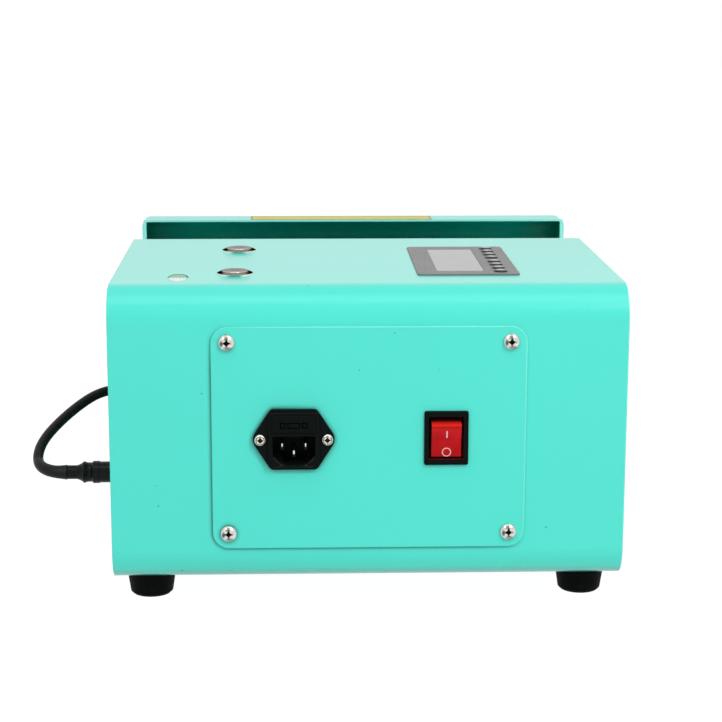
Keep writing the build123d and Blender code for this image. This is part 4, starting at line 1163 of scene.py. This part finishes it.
def paint_specks():
    """Small grains under the enamel, where the photograph shows them."""
    trees = [ray_tree(name) for name in ("access_plate", "control_box_shell", "front_panel")]
    shape = bmesh.new()
    eye = at(*CAMERA_PLACE)
    for number, pixel in enumerate(SPECK_PIXELS):
        way = sight(pixel)
        place, normal = min((met(tree, eye, way) for tree in trees if meets(tree, eye, way)),
                            key=lambda hit: (hit[0] - eye).length)
        side = normal.cross(Vector((0, 1, 0))).normalized()
        other = normal.cross(side)
        radius = SPECK_RADIUS * MM * (1 + SPECK_VARIES * math.sin(3 * number))
        rim = []
        for i in range(SPECK_STEPS):
            angle = math.tau * i / SPECK_STEPS
            uneven = radius * (1 + SPECK_UNEVEN * math.sin(2 * angle + number))
            rim.append((place + uneven * turned_to(angle, side, other), normal))
        top = [(place + SPECK_HEIGHT * MM * normal, normal)] * len(rim)
        add_layer(shape, [rim, top], closed=True, proud=SMALL_PROUD)
    piece("paint_specks", shape, "speck", "housing")


# Cable, and the shrink tube on it: its steps round and along, and how far it reaches into it
TUBE_STEPS = 32
TUBE_STEP_LENGTH = 0.4
TUBE_SUNK = 0.1


def ring_round(place, way, side, radius):
    """Points of a circle round a line, where its side direction starts."""
    other = way.cross(side)
    angles = [math.tau * i / TUBE_STEPS for i in range(TUBE_STEPS)]
    return [place + radius * turned_to(angle, side, other) for angle in angles]


def shrink_radius(length):
    """The shrink tube's radius at a length from its mouth, in metres."""
    for (near, first), (far, second) in zip(SHRINK_SHAPE, SHRINK_SHAPE[1:]):
        if length <= far * MM:
            share = (length / MM - near) / (far - near)
            return (first + share * (second - first)) * MM
    return SHRINK_SHAPE[-1][1] * MM


def make_shrink_tube(line):
    """The tapered shrink tube, along the first part of the cable's line."""
    shape = bmesh.new()
    walls = []
    cores = []
    side = Vector((0, 0, 1))
    length = 0.0
    end = SHRINK_SHAPE[-1][0] * MM
    stations = [line[0]]
    for place, after in zip(line, line[1:]):
        parts = max(1, round((after - place).length / (TUBE_STEP_LENGTH * MM)))
        stations += [place.lerp(after, (i + 1) / parts) for i in range(parts)]
    for place, after in zip(stations, stations[1:]):
        way = (after - place).normalized()
        side = (side - side.dot(way) * way).normalized()
        walls.append(ring_round(place, way, side, shrink_radius(length)))
        cores.append(ring_round(place, way, side, CABLE_RADIUS - TUBE_SUNK * MM))
        if length > end:
            break
        length += (after - place).length
    rings = [[shape.verts.new(point) for point in ring] for ring in walls + cores[::-1]]
    add_sides(shape, rings + rings[:1])
    tube = piece("cable_shrink_tube", shape, "shrink", "housing", smooth=True)
    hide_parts("cable_shrink")
    return tube


def make_cable():
    """The heater cable, a smooth line from the plug to the heater, with the tube on it."""
    curve = bpy.data.curves.new("cable", "CURVE")
    curve.dimensions = "3D"
    curve.resolution_u = 12
    spline = curve.splines.new("NURBS")
    spline.points.add(len(CABLE_ROUTE) - 1)
    for point, place in zip(spline.points, CABLE_ROUTE):
        point.co = (*(ORIGIN + Vector(place)), 1)
    spline.order_u = 3
    spline.use_endpoint_u = True
    cable = bpy.data.objects.new("heater_cable_sheath", curve)
    bpy.context.scene.collection.objects.link(cable)
    line = bpy.data.meshes.new_from_object(cable)
    shrink = make_shrink_tube([v.co.copy() for v in line.vertices])
    bpy.data.meshes.remove(line)
    curve.bevel_depth = CABLE_RADIUS
    curve.bevel_resolution = 6
    curve.use_fill_caps = True
    curve.materials.append(MATERIALS["cable"])
    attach(cable, "housing")
    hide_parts("heater_cable")


bpy.context.scene.view_settings.view_transform = "Standard"
dress_nodes()
make_camera()
make_cable()
make_world()
make_floor()
for lamp, (place, size, power) in LAMPS.items():
    make_lamp(lamp, place, size, power)
rocker_marks()
button_marks()
hood_label()
round_seal()
controller_marks()
domed_keys()
screw_recesses()
fuse_sign()
paint_specks()
